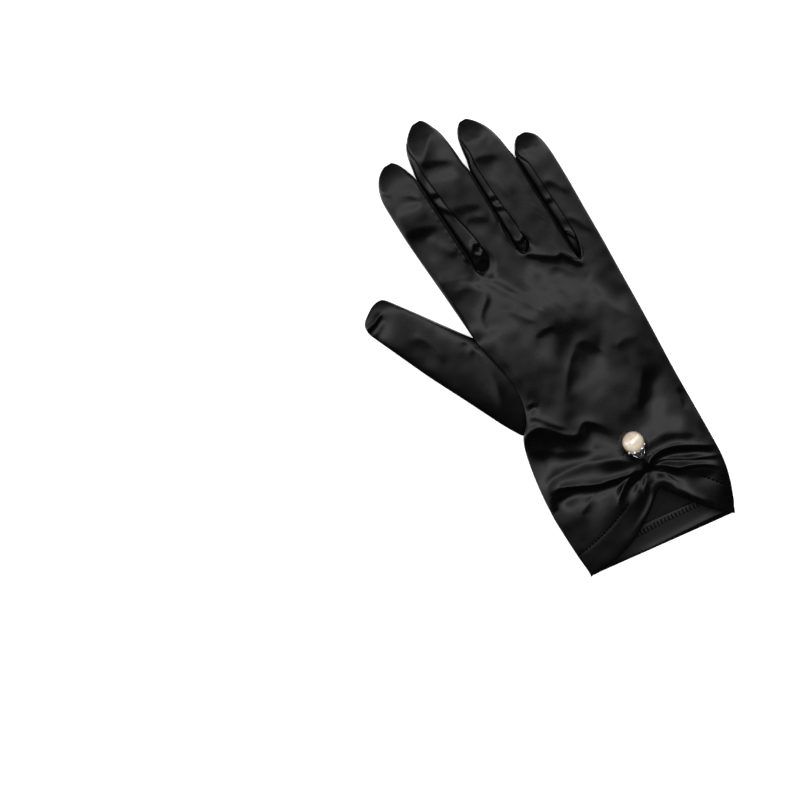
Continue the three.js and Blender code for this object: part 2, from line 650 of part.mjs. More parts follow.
/** The strip between two fingers: up one finger's side, round the crotch and up the other's. */
function fourchetteSurface(i) {
  const rows = FINGER_ROWS.filter((along) => along > 0 && along <= STRIP_TIP);
  const sidePoints = (finger, side, along) => {
    const section = fingerSection(finger, along);
    const seam = fingerSeams(finger, section, along)[side];
    const { stripBottom } = seam;
    // the strip is a little narrower where it nears the crotch
    const narrowing = CROTCH_NARROWING * (1 - smoothstep(along, 0, 0.16));
    const stripTop = lerp(seam.stripTop, stripBottom, narrowing);
    return Array.from({ length: STRIP_CELLS + 1 }, (_, m) => {
      const point = ringPoint(section, lerp(stripBottom, stripTop, m / STRIP_CELLS));
      const line = lerp(seam.palmLine, seam.backLine, m / STRIP_CELLS);
      if (m === 0 || m === STRIP_CELLS) point.facing = fingerFacing(finger, line, along);
      return point;
    });
  };
  const down = rows.toReversed().map((along) => sidePoints(FINGERS[i], 'right', along));
  const up = rows.map((along) => sidePoints(FINGERS[i + 1], 'left', along));

  // round the crotch the strip tucks in between the palm and the back
  const [start, end] = [down.at(-1), up[0]];
  const low = crotchPoint(i, 'palm').z + CLOTH + SEAM_GAP;
  const high = crotchPoint(i, 'back').z - CLOTH - SEAM_GAP;
  const floor = FINGERS[i].rightCrotch - CROTCH_DROP * 0.3;
  const turn = Array.from({ length: TURN_STEPS - 1 }, (_, n) => {
    const angle = (Math.PI * (n + 1)) / TURN_STEPS;
    return start.map((a, m) => {
      const across = 0.5 - 0.5 * Math.cos(angle);
      const point = a.clone().lerp(end[m], across);
      point.y = lerp(point.y, floor, Math.sin(angle) ** 0.6);
      point.z = lerp(low, high, m / STRIP_CELLS);
      return point;
    });
  });
  return gridSurface([...down, ...turn, ...up], true);
}

// The thumb

/** The two edges of the thumb in plan, at a share of its length. */
function thumbEdges(along) {
  const hole = {
    cuff: handEdge('thumbSide', THUMB_SEAT.from),
    finger: handEdge('thumbSide', THUMB_SEAT.to),
  };
  const centre = hole.cuff.clone().lerp(hole.finger, 0.5);
  const spread = degToRad(THUMB_SPREAD);
  const axis = new THREE.Vector2(-Math.sin(spread), Math.cos(spread));
  const out = new THREE.Vector2(-axis.y, axis.x);
  const place = (edge, at) => centre.clone()
    .addScaledVector(axis, THUMB_LENGTH * valueAt(THUMB_EDGES, `${edge}Along`, at))
    .addScaledVector(out, THUMB_WIDTH * valueAt(THUMB_EDGES, `${edge}Out`, at));
  const edges = {};
  for (const edge of ['cuff', 'finger']) {
    // the seam end of each edge meets the hole's end, whatever the thumb's size
    const pull = hole[edge].clone().sub(place(edge, 0)).multiplyScalar((1 - along) ** 2);
    edges[edge] = place(edge, along).add(pull);
  }
  return edges;
}

/** A ring of points round the thumb, whose base bends in along the hole's curved edge. */
function thumbRing(along, tuck, lift) {
  const { cuff, finger } = thumbEdges(along);
  const taper = 1 - smoothstep(along, 0.8, 1);
  const loft = THUMB_LOFT * lerp(THUMB_TIP_SHARE, 1, taper);
  const bottom = (THUMB_LOFT - loft) * TIP_LIFT + lift;
  const section = {
    left: cuff, right: finger, bottom, middle: bottom + loft * SIDE_SEAM, top: bottom + loft,
  };
  return Array.from({ length: THUMB_RING }, (_, n) => {
    const point = ringPoint(section, (2 * Math.PI * n) / THUMB_RING);
    const share = clamp((point.y - cuff.y) / (finger.y - cuff.y), 0, 1);
    const seam = handEdge('thumbSide', lerp(THUMB_SEAT.from, THUMB_SEAT.to, share));
    const inwards = seam.x - point.x + tuck * Math.sqrt(Math.sin(Math.PI * share));
    if (tuck !== 0) point.x += Math.max(inwards, 0);
    return point;
  });
}

function thumbSurface() {
  const lift = CLOTH + SEAM_GAP;
  const base = [[0, THUMB_TUCK, lift], [0, -THUMB_TUCK / 2, lift]];
  const shaft = [0.12, 0.2, 0.3, 0.4, 0.5, 0.6, 0.7, 0.8, 0.88, 0.93, 0.97, 1];
  const rings = [...base, ...shaft.map((along) => [along, 0, along < 0.15 ? lift * 0.3 : 0])]
    .map(([along, tuck, up]) => thumbRing(along, tuck, up));
  const points = rings.flat();
  const triangles = [];
  const turn = Array.from({ length: THUMB_RING + 1 }, (_, n) => n % THUMB_RING);
  rings.slice(1).forEach((_, j) => {
    const numbers = (row) => turn.map((n) => row * THUMB_RING + n);
    addCells(triangles, numbers(j), numbers(j + 1), false);
  });
  const tip = rings.at(-1);
  const centre = tip.reduce((sum, p) => sum.add(p), new THREE.Vector3()).divideScalar(THUMB_RING);
  const first = points.length - THUMB_RING;
  points.push(centre);
  tip.forEach((_, n) => triangles.push([first + turn[n + 1], first + n, points.length - 1]));
  return { points, triangles };
}

// Solids that are cut or joined

function toSolid(geometry) {
  const bare = geometry.clone();
  bare.deleteAttribute('normal');
  bare.deleteAttribute('uv');
  const merged = mergeVertices(bare);
  const vertProperties = merged.attributes.position.array;
  const triVerts = new Uint32Array(merged.index.array);
  return new wasm.Manifold(new wasm.Mesh({ numProp: 3, vertProperties, triVerts }));
}

function toGeometry(solid) {
  const { vertProperties, triVerts } = solid.getMesh();
  const geometry = new THREE.BufferGeometry();
  geometry.setAttribute('position', new THREE.BufferAttribute(vertProperties, 3));
  geometry.setIndex(new THREE.BufferAttribute(triVerts, 1));
  geometry.computeVertexNormals();
  return geometry;
}

/** From the pearl's middle down to the level where the cap's rim touches it. */
const rimSeat = Math.sqrt((PEARL_DIAMETER / 2) ** 2 - (CAP_RIM_DIAMETER / 2 - CAP_WALL) ** 2);

/** The cap behind the pearl, along +Z from its tip: a pierced cone with petals at its rim. */
function capGeometry() {
  const [tip, rim] = [CAP_TIP_DIAMETER / 2, CAP_RIM_DIAMETER / 2];
  const hole = THREAD_DIAMETER / 2 + SEAM_GAP;
  const profile = [
    [hole, 0],
    [tip, 0],
    [lerp(tip, rim, 0.45), CAP_LENGTH * 0.35],
    [lerp(tip, rim, 0.85), CAP_LENGTH * 0.75],
    [rim, CAP_LENGTH],
    [rim - CAP_WALL, CAP_LENGTH],
    [lerp(tip, rim, 0.8) - CAP_WALL, CAP_LENGTH * 0.75],
    [lerp(tip, rim, 0.4) - CAP_WALL, CAP_LENGTH * 0.35],
    [hole, CAP_WALL],
    [hole, 0],
  ].map(([r, h]) => new THREE.Vector2(r, h));
  let cap = toSolid(new THREE.LatheGeometry(profile, 3 * CAP_PETALS).rotateX(Math.PI / 2));
  const window = new THREE.CylinderGeometry(CAP_LENGTH * 0.2, CAP_LENGTH * 0.2, rim, 8)
    .scale(1, 1, 1.35)
    .rotateZ(Math.PI / 2)
    .translate(rim / 2 + hole, 0, CAP_LENGTH * 0.55);
  const petal = new THREE.SphereGeometry(PETAL_DIAMETER / 2, 8, 5)
    .translate(rim - CAP_WALL / 2, 0, CAP_LENGTH - PETAL_DIAMETER / 4);
  for (let n = 0; n < CAP_PETALS; n++) {
    const turn = (2 * Math.PI * n) / CAP_PETALS;
    cap = cap.subtract(toSolid(window.clone().rotateZ(turn + Math.PI / CAP_PETALS)));
    cap = cap.add(toSolid(petal.clone().rotateZ(turn)));
  }
  const pearl = new THREE.SphereGeometry(PEARL_DIAMETER / 2 + SEAM_GAP, 24, 16)
    .translate(0, 0, CAP_LENGTH - PETAL_DIAMETER / 2 + rimSeat);
  return toGeometry(cap.subtract(toSolid(pearl)));
}

// The pieces

const satin = new THREE.MeshStandardMaterial({ color: 0x161616, roughness: 0.42, metalness: 0 });
const satinInside = new THREE.MeshStandardMaterial({ color: 0x1c1c1c, roughness: 0.6, metalness: 0 });
const threadBlack = new THREE.MeshStandardMaterial({ color: 0x0c0c0c, roughness: 0.8, metalness: 0 });
const nacre = new THREE.MeshStandardMaterial({ color: 0xf2e2d4, roughness: 0.22, metalness: 0 });
const silver = new THREE.MeshStandardMaterial({ color: 0xc9c9cc, roughness: 0.2, metalness: 1 });

const glove = new THREE.Group();

function piece(name, geometry, material) {
  const mesh = new THREE.Mesh(geometry, material);
  mesh.name = name;
  glove.add(mesh);
  return mesh;
}

const backSurface = panelSurface('back', BACK_ROWS, backPoint);
piece('back_panel', clothWall(backSurface), satin);
const palmSurface = panelSurface('palm', PALM_ROWS, palmPoint);
piece('palm_panel', clothWall(palmSurface), satin);
piece('back_hem', clothWall(hemSurface(backSurface, BACK_ROWS, true)), satinInside);
piece('palm_hem', clothWall(hemSurface(palmSurface, PALM_ROWS, false)), satinInside);
piece('thumb', clothWall(thumbSurface()), satin);
FINGERS.slice(0, -1).forEach((finger, i) => {
  piece(`fourchette_${finger.name}_${FINGERS[i + 1].name}`, clothWall(fourchetteSurface(i)), satin);
});

/** The lowest height at which a ball or a small block clears the back by the seam gap. */
function restHeight(x, y, radius, lift) {
  let height = 0;
  for (const [a, b, c] of backSurface.triangles) {
    const triangle = new THREE.Triangle(...[a, b, c].map((n) => backSurface.points[n]));
    const box = new THREE.Box2().setFromPoints([triangle.a, triangle.b, triangle.c]);
    if (box.distanceToPoint(new THREE.Vector2(x, y)) > radius) continue;
    for (const [p, q] of [[1 / 3, 1 / 3], [0, 0], [1, 0], [0, 1], [0.5, 0], [0, 0.5], [0.5, 0.5]]) {
      const point = triangle.a.clone().multiplyScalar(1 - p - q);
      point.addScaledVector(triangle.b, p).addScaledVector(triangle.c, q);
      const distance = Math.hypot(point.x - x, point.y - y);
      if (distance < radius) height = Math.max(height, point.z + lift(distance));
    }
  }
  return height;
}

const pearlReach = PEARL_DIAMETER / 2 + 1.5 * SEAM_GAP;
const pearlY = knot.y + PEARL_HANG;
const pearlHeight = restHeight(knot.x, pearlY, pearlReach, (d) => Math.sqrt(pearlReach ** 2 - d ** 2));
const pearlCentre = new THREE.Vector3(knot.x, pearlY, pearlHeight);
const knotReach = KNOT_LENGTH / 2 + SEAM_GAP;
const knotHeight = restHeight(knot.x, knot.y, knotReach, (d) =>
  SEAM_GAP + (KNOT_HEIGHT / 2) * Math.sqrt(1 - (d / knotReach) ** 2));

const knotGeometry = new THREE.SphereGeometry(0.5, 12, 8).scale(KNOT_WIDTH, KNOT_LENGTH, KNOT_HEIGHT);
piece('knot', knotGeometry, threadBlack).position.set(knot.x, knot.y, knotHeight);

// the thread leaves the knot's top and runs to the pearl's middle, through the cap
const threadStart = new THREE.Vector3(
  knot.x, knot.y, knotHeight + KNOT_HEIGHT / 2 + SEAM_GAP + THREAD_DIAMETER / 2);
const hang = new THREE.Group();
hang.position.copy(threadStart);
hang.quaternion.setFromUnitVectors(
  new THREE.Vector3(0, 0, 1),
  pearlCentre.clone().sub(threadStart).normalize(),
);
glove.add(hang);
const threadLength = pearlCentre.distanceTo(threadStart);

function hung(name, geometry, material, along) {
  const mesh = piece(name, geometry, material);
  mesh.position.z = along;
  hang.add(mesh);
}

const boreDepth = PEARL_DIAMETER / 2;
const boreRadius = THREAD_DIAMETER / 2 + SEAM_GAP; // as the cap's hole
const bore = new THREE.CylinderGeometry(boreRadius, boreRadius, 2 * boreDepth, 10)
  .rotateX(Math.PI / 2)
  .translate(0, 0, SEAM_GAP - boreDepth);
const ball = new THREE.SphereGeometry(PEARL_DIAMETER / 2, 20, 14);
const pearlGeometry = toGeometry(toSolid(ball).subtract(toSolid(bore)));
const threadRadius = THREAD_DIAMETER / 2;
const threadGeometry = new THREE.CylinderGeometry(threadRadius, threadRadius, threadLength, 8)
  .rotateX(Math.PI / 2);
hung('pearl', pearlGeometry, nacre, threadLength);
hung('pearl_thread', threadGeometry, threadBlack, threadLength / 2);
hung('pearl_cap', capGeometry(), silver, threadLength - rimSeat + PETAL_DIAMETER / 2 - CAP_LENGTH);

// The origin is under the middle of the glove, on the surface that it lies on.
const box = new THREE.Box3().setFromObject(glove, true);
const middle = box.getCenter(new THREE.Vector3());
glove.position.set(-middle.x, -middle.y, -box.min.z);

export default glove;
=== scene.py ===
# %% [markdown]
# # A black satin dress glove
#
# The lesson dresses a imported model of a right-hand, wrist-length dress glove. The model's
# solids say how big everything is and where it sits. Here the cloth becomes fine, folded
# satin with its stitches, and the pearl, its cap and its thread are modelled anew.
# Lengths are in metres. The tables of folds are in millimetres, because cloth is measured so.

# %% Load the model
import math
from collections import namedtuple

import bmesh
import bpy
import numpy as np
from mathutils import Matrix, Vector, noise
from mathutils.bvhtree import BVHTree


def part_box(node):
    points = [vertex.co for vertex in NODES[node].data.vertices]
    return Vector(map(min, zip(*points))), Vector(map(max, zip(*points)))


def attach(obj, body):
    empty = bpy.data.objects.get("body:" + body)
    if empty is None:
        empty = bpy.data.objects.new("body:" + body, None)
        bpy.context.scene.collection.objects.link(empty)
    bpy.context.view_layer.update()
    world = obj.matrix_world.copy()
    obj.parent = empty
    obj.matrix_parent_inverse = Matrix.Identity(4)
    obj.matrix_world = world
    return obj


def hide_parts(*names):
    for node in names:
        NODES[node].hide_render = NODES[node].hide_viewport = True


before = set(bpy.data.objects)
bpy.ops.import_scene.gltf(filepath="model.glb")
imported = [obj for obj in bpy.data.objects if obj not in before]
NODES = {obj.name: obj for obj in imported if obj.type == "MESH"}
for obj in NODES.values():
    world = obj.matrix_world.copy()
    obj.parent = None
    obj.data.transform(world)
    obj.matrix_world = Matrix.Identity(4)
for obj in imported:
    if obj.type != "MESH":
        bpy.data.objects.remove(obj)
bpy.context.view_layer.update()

MM = 0.001
print("Loaded", len(NODES), "solids:", ", ".join(sorted(NODES)))

# %% [markdown]
# ## The drawing's frame
#
# The folds are drawn on a plan of the glove whose origin is the middle of the cuff's hem.
# X runs to the little-finger side and Y up to the fingertips. The knot of the gathered cuff
# fixes where that plan lies on the model, so the drawing moves with the model.

# %% Where the plan lies
KNOT_ON_PLAN = (10.7, 33.1)


def box_of(node):
    """The low and the high corner of a solid's box, and its middle."""
    low, high = (Vector(corner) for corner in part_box(node))
    return low, high, (low + high) / 2


KNOT_TOP, KNOT = box_of("knot")[1:]
PLAN = Vector((KNOT.x - KNOT_ON_PLAN[0] * MM, KNOT.y - KNOT_ON_PLAN[1] * MM, 0))


def on_model(x, y, z=0.0):
    """A point of the plan, in millimetres, as a place in the scene."""
    return Vector((PLAN.x + x * MM, PLAN.y + y * MM, z))


print("The plan's origin lies at", [round(value, 4) for value in PLAN])

# %% [markdown]
# ## Small tools
#
# New meshes get their material and body through one function, so none is forgotten.
# Cloth has hundreds of thousands of points, so they are read and written as whole arrays.

# %% Tools for pieces
COLLECTION = bpy.context.scene.collection


def finish_piece(piece, material, replaced=()):
    """Gives a piece its material and body, and says which solids it stands for."""
    mesh = piece.data
    mesh.materials.clear()
    mesh.materials.append(material)
    mesh.polygons.foreach_set("use_smooth", [True] * len(mesh.polygons))
    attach(piece, "root")
    if replaced:
        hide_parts(*replaced)
    print(f"{piece.name}: {len(mesh.polygons)} faces")
    return piece


def select_only(*pieces):
    bpy.ops.object.select_all(action="DESELECT")
    for piece in pieces:
        piece.select_set(True)
    bpy.context.view_layer.objects.active = pieces[0]


def apply_modifier(piece, kind, **settings):
    """Adds a modifier, sets it up and applies it."""
    modifier = piece.modifiers.new(kind.title(), kind)
    for key, value in settings.items():
        setattr(modifier, key, value)
    select_only(piece)
    bpy.ops.object.modifier_apply(modifier=modifier.name)


def points_of(piece, field="co"):
    """The points of a mesh as rows of x, y and z, or another vector that they carry."""
    values = np.empty(len(piece.data.vertices) * 3)
    piece.data.vertices.foreach_get(field, values)
    return values.reshape(-1, 3)


def set_points(piece, points):
    piece.data.vertices.foreach_set("co", np.asarray(points).ravel())
    piece.data.update()


def smooth_step(value, low, high):
    """0 below low, 1 above high, and a smooth rise between them."""
    t = np.clip((value - low) / (high - low), 0, 1)
    return t * t * (3 - 2 * t)


print("The back's solid has", len(points_of(NODES["back_panel"])), "points")

# %% [markdown]
# ## Materials
#
# Every look is made of nodes. A picture would have a fixed size and its own light in it, while
# nodes stay sharp from close by. The helpers link what is a socket and set what is a value.

# %% Node helpers
def feed(tree, socket, value):
    if isinstance(value, bpy.types.NodeSocket):
        tree.links.new(value, socket)
    else:
        socket.default_value = value


def fill(tree, node, **inputs):
    """Feeds a node's inputs by their names, written with _ for each space."""
    for key, value in inputs.items():
        feed(tree, node.inputs[key.replace("_", " ")], value)
    return node


def add_node(tree, kind, settings=None, **inputs):
    node = tree.nodes.new("ShaderNode" + kind)
    for key, value in (settings or {}).items():
        setattr(node, key, value)
    return fill(tree, node, **inputs)


def math_node(tree, operation, *values):
    node = add_node(tree, "Math", {"operation": operation})
    for socket, value in zip(node.inputs, values):
        feed(tree, socket, value)
    return node.outputs[0]


def mix_colours(tree, share, dark, light):
    """A colour between two, by a share from 0 to 1."""
    node = add_node(tree, "Mix", {"data_type": "RGBA"})
    for number, value in ((0, share), (6, (*dark, 1)), (7, (*light, 1))):
        feed(tree, node.inputs[number], value)
    return node.outputs[2]


def colour_ramp(tree, share, stops, interpolation="LINEAR"):
    """A ramp through stops, each a place from 0 to 1 and a colour."""
    node = add_node(tree, "ValToRGB", Fac=share)
    node.color_ramp.interpolation = interpolation
    elements = node.color_ramp.elements
    while len(elements) < len(stops):
        elements.new(1.0)
    for element, (place, colour) in zip(elements, stops):
        element.position = place
        element.color = (*colour, 1)
    return node.outputs[0]


def noise_at(tree, place, scale, detail, roughness=0.5):
    return add_node(
        tree, "TexNoise", Vector=place, Scale=scale, Detail=detail, Roughness=roughness
    ).outputs["Fac"]


def bump_from(tree, height, strength, distance):
    node = add_node(tree, "Bump", Height=height, Strength=strength, Distance=distance)
    return node.outputs[0]


def object_place(tree):
    return add_node(tree, "TexCoord").outputs["Object"]


def new_material(name, **inputs):
    """A material, its tree, and its surface shader with some inputs set."""
    material = bpy.data.materials.new(name)
    material.use_nodes = True
    tree = material.node_tree
    return material, tree, fill(tree, tree.nodes["Principled BSDF"], **inputs)


# %% [markdown]
# Satin is woven with long floats, threads that pass over many others before they dip. They
# give it its soft streaks of light, and close up they show as fine broken lines. A plain gloss
# would look like plastic. Noise stretched along the threads makes floats at their true size, 4
# to the millimetre, and broader noise varies the colour and gloss.

# %% The weave
THREADS_PER_MM = 4.0
FLOAT_SHAPE = 0.16  # a float's width as a share of its length
BROAD_SCALE = 70.0


def weave_group():
    """Long floats along Y, broken at random, as a height from 0 to 1."""
    group = bpy.data.node_groups.new("satin_weave", "ShaderNodeTree")
    for label, way in (("Threads per mm", "INPUT"), ("Height", "OUTPUT"), ("Uneven", "OUTPUT")):
        group.interface.new_socket(label, in_out=way, socket_type="NodeSocketFloat")
    given = group.nodes.new("NodeGroupInput")
    result = group.nodes.new("NodeGroupOutput")
    place = object_place(group)
    split = add_node(group, "SeparateXYZ", Vector=place)
    per_metre = math_node(group, "MULTIPLY", given.outputs["Threads per mm"], 1 / MM)
    x = math_node(group, "MULTIPLY", split.outputs["X"], per_metre)
    y = math_node(group, "MULTIPLY", split.outputs["Y"], per_metre)
    ribs = math_node(group, "SINE", math_node(group, "MULTIPLY", x, 2 * math.pi))
    longer = math_node(group, "MULTIPLY", y, FLOAT_SHAPE)
    cell = add_node(group, "CombineXYZ", X=x, Y=longer).outputs[0]
    flat = {"noise_dimensions": "2D"}
    floats = add_node(group, "TexNoise", flat, Vector=cell, Scale=1.0, Detail=1.0)
    height = math_node(group, "MULTIPLY_ADD", ribs, 0.25, floats.outputs["Fac"])
    fill(group, result, Height=height, Uneven=noise_at(group, place, BROAD_SCALE, 3.0, 0.55))
    return group


WEAVE = weave_group()
print("Node group:", WEAVE.name)


# %% Satin
def satin(name, dark, light, roughness, sheen, weave_bump, anisotropy):
    """A satin whose colour and gloss vary a little over the cloth."""
    material, tree, surface = new_material(
        name, IOR=1.5, Specular_IOR_Level=0.5, Sheen_Weight=sheen, Sheen_Roughness=0.35,
        Sheen_Tint=(0.6, 0.6, 0.62, 1), Anisotropic=anisotropy,
    )
    weave = add_node(tree, "Group", {"node_tree": WEAVE}, Threads_per_mm=THREADS_PER_MM).outputs
    gloss = add_node(
        tree, "MapRange", Value=weave["Uneven"], From_Min=0.3, From_Max=0.7,
        To_Min=roughness - 0.05, To_Max=roughness + 0.05,
    )
    tangent = add_node(tree, "Tangent", {"direction_type": "UV_MAP", "uv_map": "cloth"})
    fill(
        tree, surface, Base_Color=mix_colours(tree, weave["Uneven"], dark, light),
        Roughness=gloss.outputs[0], Tangent=tangent.outputs[0],
        Normal=bump_from(tree, weave["Height"], weave_bump, 0.06 * MM),
    )
    return material


SATIN = satin(
    "black_satin", (0.0007, 0.0007, 0.0007), (0.0016, 0.0016, 0.0015),
    roughness=0.29, sheen=0.012, weave_bump=0.25, anisotropy=0.35,
)
SATIN_INSIDE = satin(
    "satin_back_face", (0.0012, 0.0012, 0.0012), (0.0026, 0.0026, 0.0026),
    roughness=0.36, sheen=0.02, weave_bump=0.4, anisotropy=0.3,
)
print("Satin for the face and for the duller inside:", SATIN.name, SATIN_INSIDE.name)

# %% [markdown]
# Spun thread is matt, because its fibres scatter the light. Nacre is many clear layers: a coat
# with a high index over a cloudy body stands for them. Plated silver is made nearly black in its
# hollows: Pointiness finds them, and a ramp darkens them.

# %% Thread
def thread_material():
    """Fine fibres, twisted round the thread."""
    material, tree, surface = new_material("black_thread", Roughness=0.8, Specular_IOR_Level=0.04)
    twist = {"bands_direction": "DIAGONAL"}
    fibres = add_node(
        tree, "TexWave", twist, Vector=object_place(tree), Scale=1100.0, Distortion=2.0
    ).outputs["Fac"]
    colour = mix_colours(tree, fibres, (0.0005, 0.0005, 0.0005), (0.002, 0.002, 0.002))
    fill(tree, surface, Base_Color=colour, Normal=bump_from(tree, fibres, 0.5, 0.05 * MM))
    return material


THREAD = thread_material()
print("Material:", THREAD.name)


# %% Nacre
def pearl_material():
    """Nacre: cream, darker in patches, with a soft coat over a cloudy depth."""
    material, tree, surface = new_material(
        "nacre", Roughness=0.24, IOR=1.9, Coat_Weight=1.0, Coat_IOR=2.0, Coat_Roughness=0.1,
        Coat_Tint=(1.0, 0.97, 0.93, 1), Subsurface_Weight=0.15,
        Subsurface_Radius=(0.0010, 0.0008, 0.0006),
    )
    place = object_place(tree)
    creams = [(0.3, (0.42, 0.34, 0.26)), (0.75, (0.56, 0.50, 0.43))]
    colour = colour_ramp(tree, noise_at(tree, place, 260.0, 4.0), creams)
    layers = bump_from(tree, noise_at(tree, place, 900.0, 5.0), 0.08, 0.1 * MM)
    fill(tree, surface, Base_Color=colour, Normal=layers)
    return material


NACRE = pearl_material()
print("Material:", NACRE.name)


# %% Silver
def silver_material():
    """Plated silver, darker in its hollows."""
    material, tree, surface = new_material("silver_plate", Metallic=1.0)
    stains = noise_at(tree, object_place(tree), 1200.0, 4.0)
    gloss = add_node(tree, "MapRange", Value=stains, To_Min=0.28, To_Max=0.46)
    edges = add_node(tree, "NewGeometry").outputs["Pointiness"]
    # low Pointiness, in hollows and inner corners, gives a nearly black colour
    greys = [(0.40, (0.12, 0.12, 0.13)), (0.48, (0.86, 0.86, 0.88))]
    colour = colour_ramp(tree, edges, greys)
    fill(tree, surface, Base_Color=colour, Roughness=gloss.outputs[0])
    return material


SILVER = silver_material()
print("Material:", SILVER.name)

# %% [markdown]
# ## Folds
#
# Cloth simulation could make folds, but they would fall in places of their own. Here each fold
# is a curve through a few points of the plan. Gathered cloth rises slowly to a crest and then
# drops steeply into a valley that comes up again slowly, so a fold isn't the same on both
# sides. The valley lies on the right-hand side of the way that a fold's points run. A fold with
# no crest is a dent, and one with no valley a plain ridge. All lengths are in millimetres.

# %% What a fold holds
# crest: height, rise: length of the slope up to it, drop: width of the crest's steep side,
# valley: depth, reach: how far the cloth goes on sinking, fade: shares of the length at its ends
Fold = namedtuple(
    "Fold", "points crest rise valley drop reach fade", defaults=(0, 1, 0, 1, 2, (0.25, 0.3))
)

# %% Folds of the cuff
HEM_STITCHES = [
    [(-36.1, 15.6), (-26.1, 17.4), (-17.2, 19.7), (-11.7, 21.7), (-7.2, 23.3), (-4.4, 25)],
    [(29.4, 18.6), (32.5, 15.2), (35, 12), (39.4, 6.2)],
]
CUFF_FOLDS = [
    # the roll of cloth on the left, from its crest to its steep foot
    Fold([(-35.2, 38), (-34.4, 46), (-31.6, 51), (-25, 52), (-12, 50), (1, 44), (8, 38)],
         crest=1, rise=3, valley=0.3, drop=3.6, reach=3, fade=(0.1, 0.2)),
    Fold([(-33, 46.2), (-28.4, 46.4), (-22.8, 43.9), (-17.2, 41.2), (-11.7, 38.9), (-6.1, 37.6),
          (-0.6, 36.3), (5, 35.2), (9.4, 34)],
         crest=1.3, rise=2.2, valley=1.3, drop=0.95, reach=2.2, fade=(0.2, 0.06)),
    Fold([(-34, 44.5), (-30.5, 43.4), (-25.4, 42)], valley=1.3, drop=1.4),
    # the hollow between the wrist and the roll
    Fold([(-34, 68), (-27, 66), (-20, 60.6), (-12, 56.6), (-4, 53), (3, 49)],
         valley=2.2, drop=2.5, reach=5.5, fade=(0.15, 0.3)),
    # gathers of the left half, from the knot down to the hem
    Fold([(9.4, 33.2), (5, 33.5), (1.7, 34), (-1.1, 33.4), (-3.9, 31.9), (-6.1, 30), (-7.8, 27.8),
          (-9.4, 25)],
         crest=0.8, rise=1.7, valley=1, drop=0.85, reach=1.1, fade=(0.08, 0.4)),
    Fold([(-8.2, 27), (-4.8, 30.2), (-2, 31.8), (2, 32.2), (5.6, 31.8)],
         crest=0.1, rise=0.8, valley=0.8, drop=0.9, reach=1.1),
    Fold([(9.6, 31.8), (7.8, 30.4), (6.1, 28.2), (4.4, 25.6), (2, 23)],
         crest=0.6, rise=1.9, valley=0.5, drop=0.9, reach=1, fade=(0.08, 0.5)),
    Fold([(4.6, 31), (2.6, 29), (0.6, 26.4)], crest=0.3, rise=1.4, valley=0.3, drop=0.8, reach=1),
    Fold([(-27, 31), (-21, 34), (-14.4, 37)], rise=3, valley=1, drop=3, reach=2.6),
    # gathers of the right half, from the knot to the side
    Fold([(12, 34.4), (12.7, 35.6), (14, 36.8), (16.7, 37.5), (20, 37.6), (23.9, 36.9),
          (27.8, 35.5), (32.2, 33), (36.7, 30.2), (40, 28), (43.4, 26.6)],
         crest=2, rise=1.6, valley=1.2, drop=1.5, reach=3, fade=(0.05, 0.25)),
    Fold([(14, 41.4), (18, 44), (23, 44.2), (29, 41.8), (36, 37.2), (42, 32)],
         crest=0.3, rise=3.4, valley=0.2, drop=2.6, reach=2.2),
    Fold([(13, 34.8), (18.9, 33.8), (23.3, 31.7), (28.9, 28.4), (34.4, 25.6), (40, 22.8),
          (43.4, 21.1)],
         crest=0.6, rise=1.5, valley=0.8, reach=1.4, fade=(0.06, 0.3)),
    Fold([(12, 33.2), (15.6, 32.5), (18.3, 31), (21.1, 28.3), (23.3, 26.5), (26.7, 25.5),
          (30.6, 23.9), (34.4, 21.7), (37.8, 18.9), (40.4, 15.8)],
         crest=0.9, rise=1.7, valley=1.2, drop=0.9, reach=1.8, fade=(0.06, 0.25)),
    Fold([(26, 22.6), (31, 20.6), (35, 18.4), (38.4, 15.4)], valley=0.9, drop=1.6, reach=2.2),
    Fold([(13.2, 32), (15.4, 30.4), (17.6, 28)], valley=0.8, drop=0.9, reach=1),
    # the rolled edge of the right flap, and the crease above it
    Fold([(31, 2.6), (26.7, 6.1), (23.9, 9.4), (21.1, 13.9), (18.3, 18.9), (16.1, 22.8),
          (14.4, 25.6), (13, 28.6), (11.4, 31.4)],
         crest=0.5, rise=2.2, valley=0.3, drop=1.5, reach=1.6, fade=(0.35, 0.06)),
    Fold([(22, 16.4), (19.4, 20.6), (18.1, 22.8), (16.7, 26), (15.2, 29)],
         crest=0.1, rise=0.8, valley=0.9, drop=0.8, reach=1.1, fade=(0.5, 0.1)),
    # the rolled edge of the left flap
    Fold([(8.6, 27), (6.6, 22), (2.4, 18), (-3.6, 14.6), (-11, 11.4)],
         crest=0.4, rise=2, valley=0.3, drop=1.6, reach=1.5, fade=(0.15, 0.4)),
    # the stitches draw the turned hem in
    Fold(HEM_STITCHES[0], crest=-0.1, rise=0.7, drop=0.8, fade=(0.02, 0.2)),
    Fold(HEM_STITCHES[1], crest=-0.1, rise=0.7, drop=0.8, fade=(0.2, 0.02)),
]

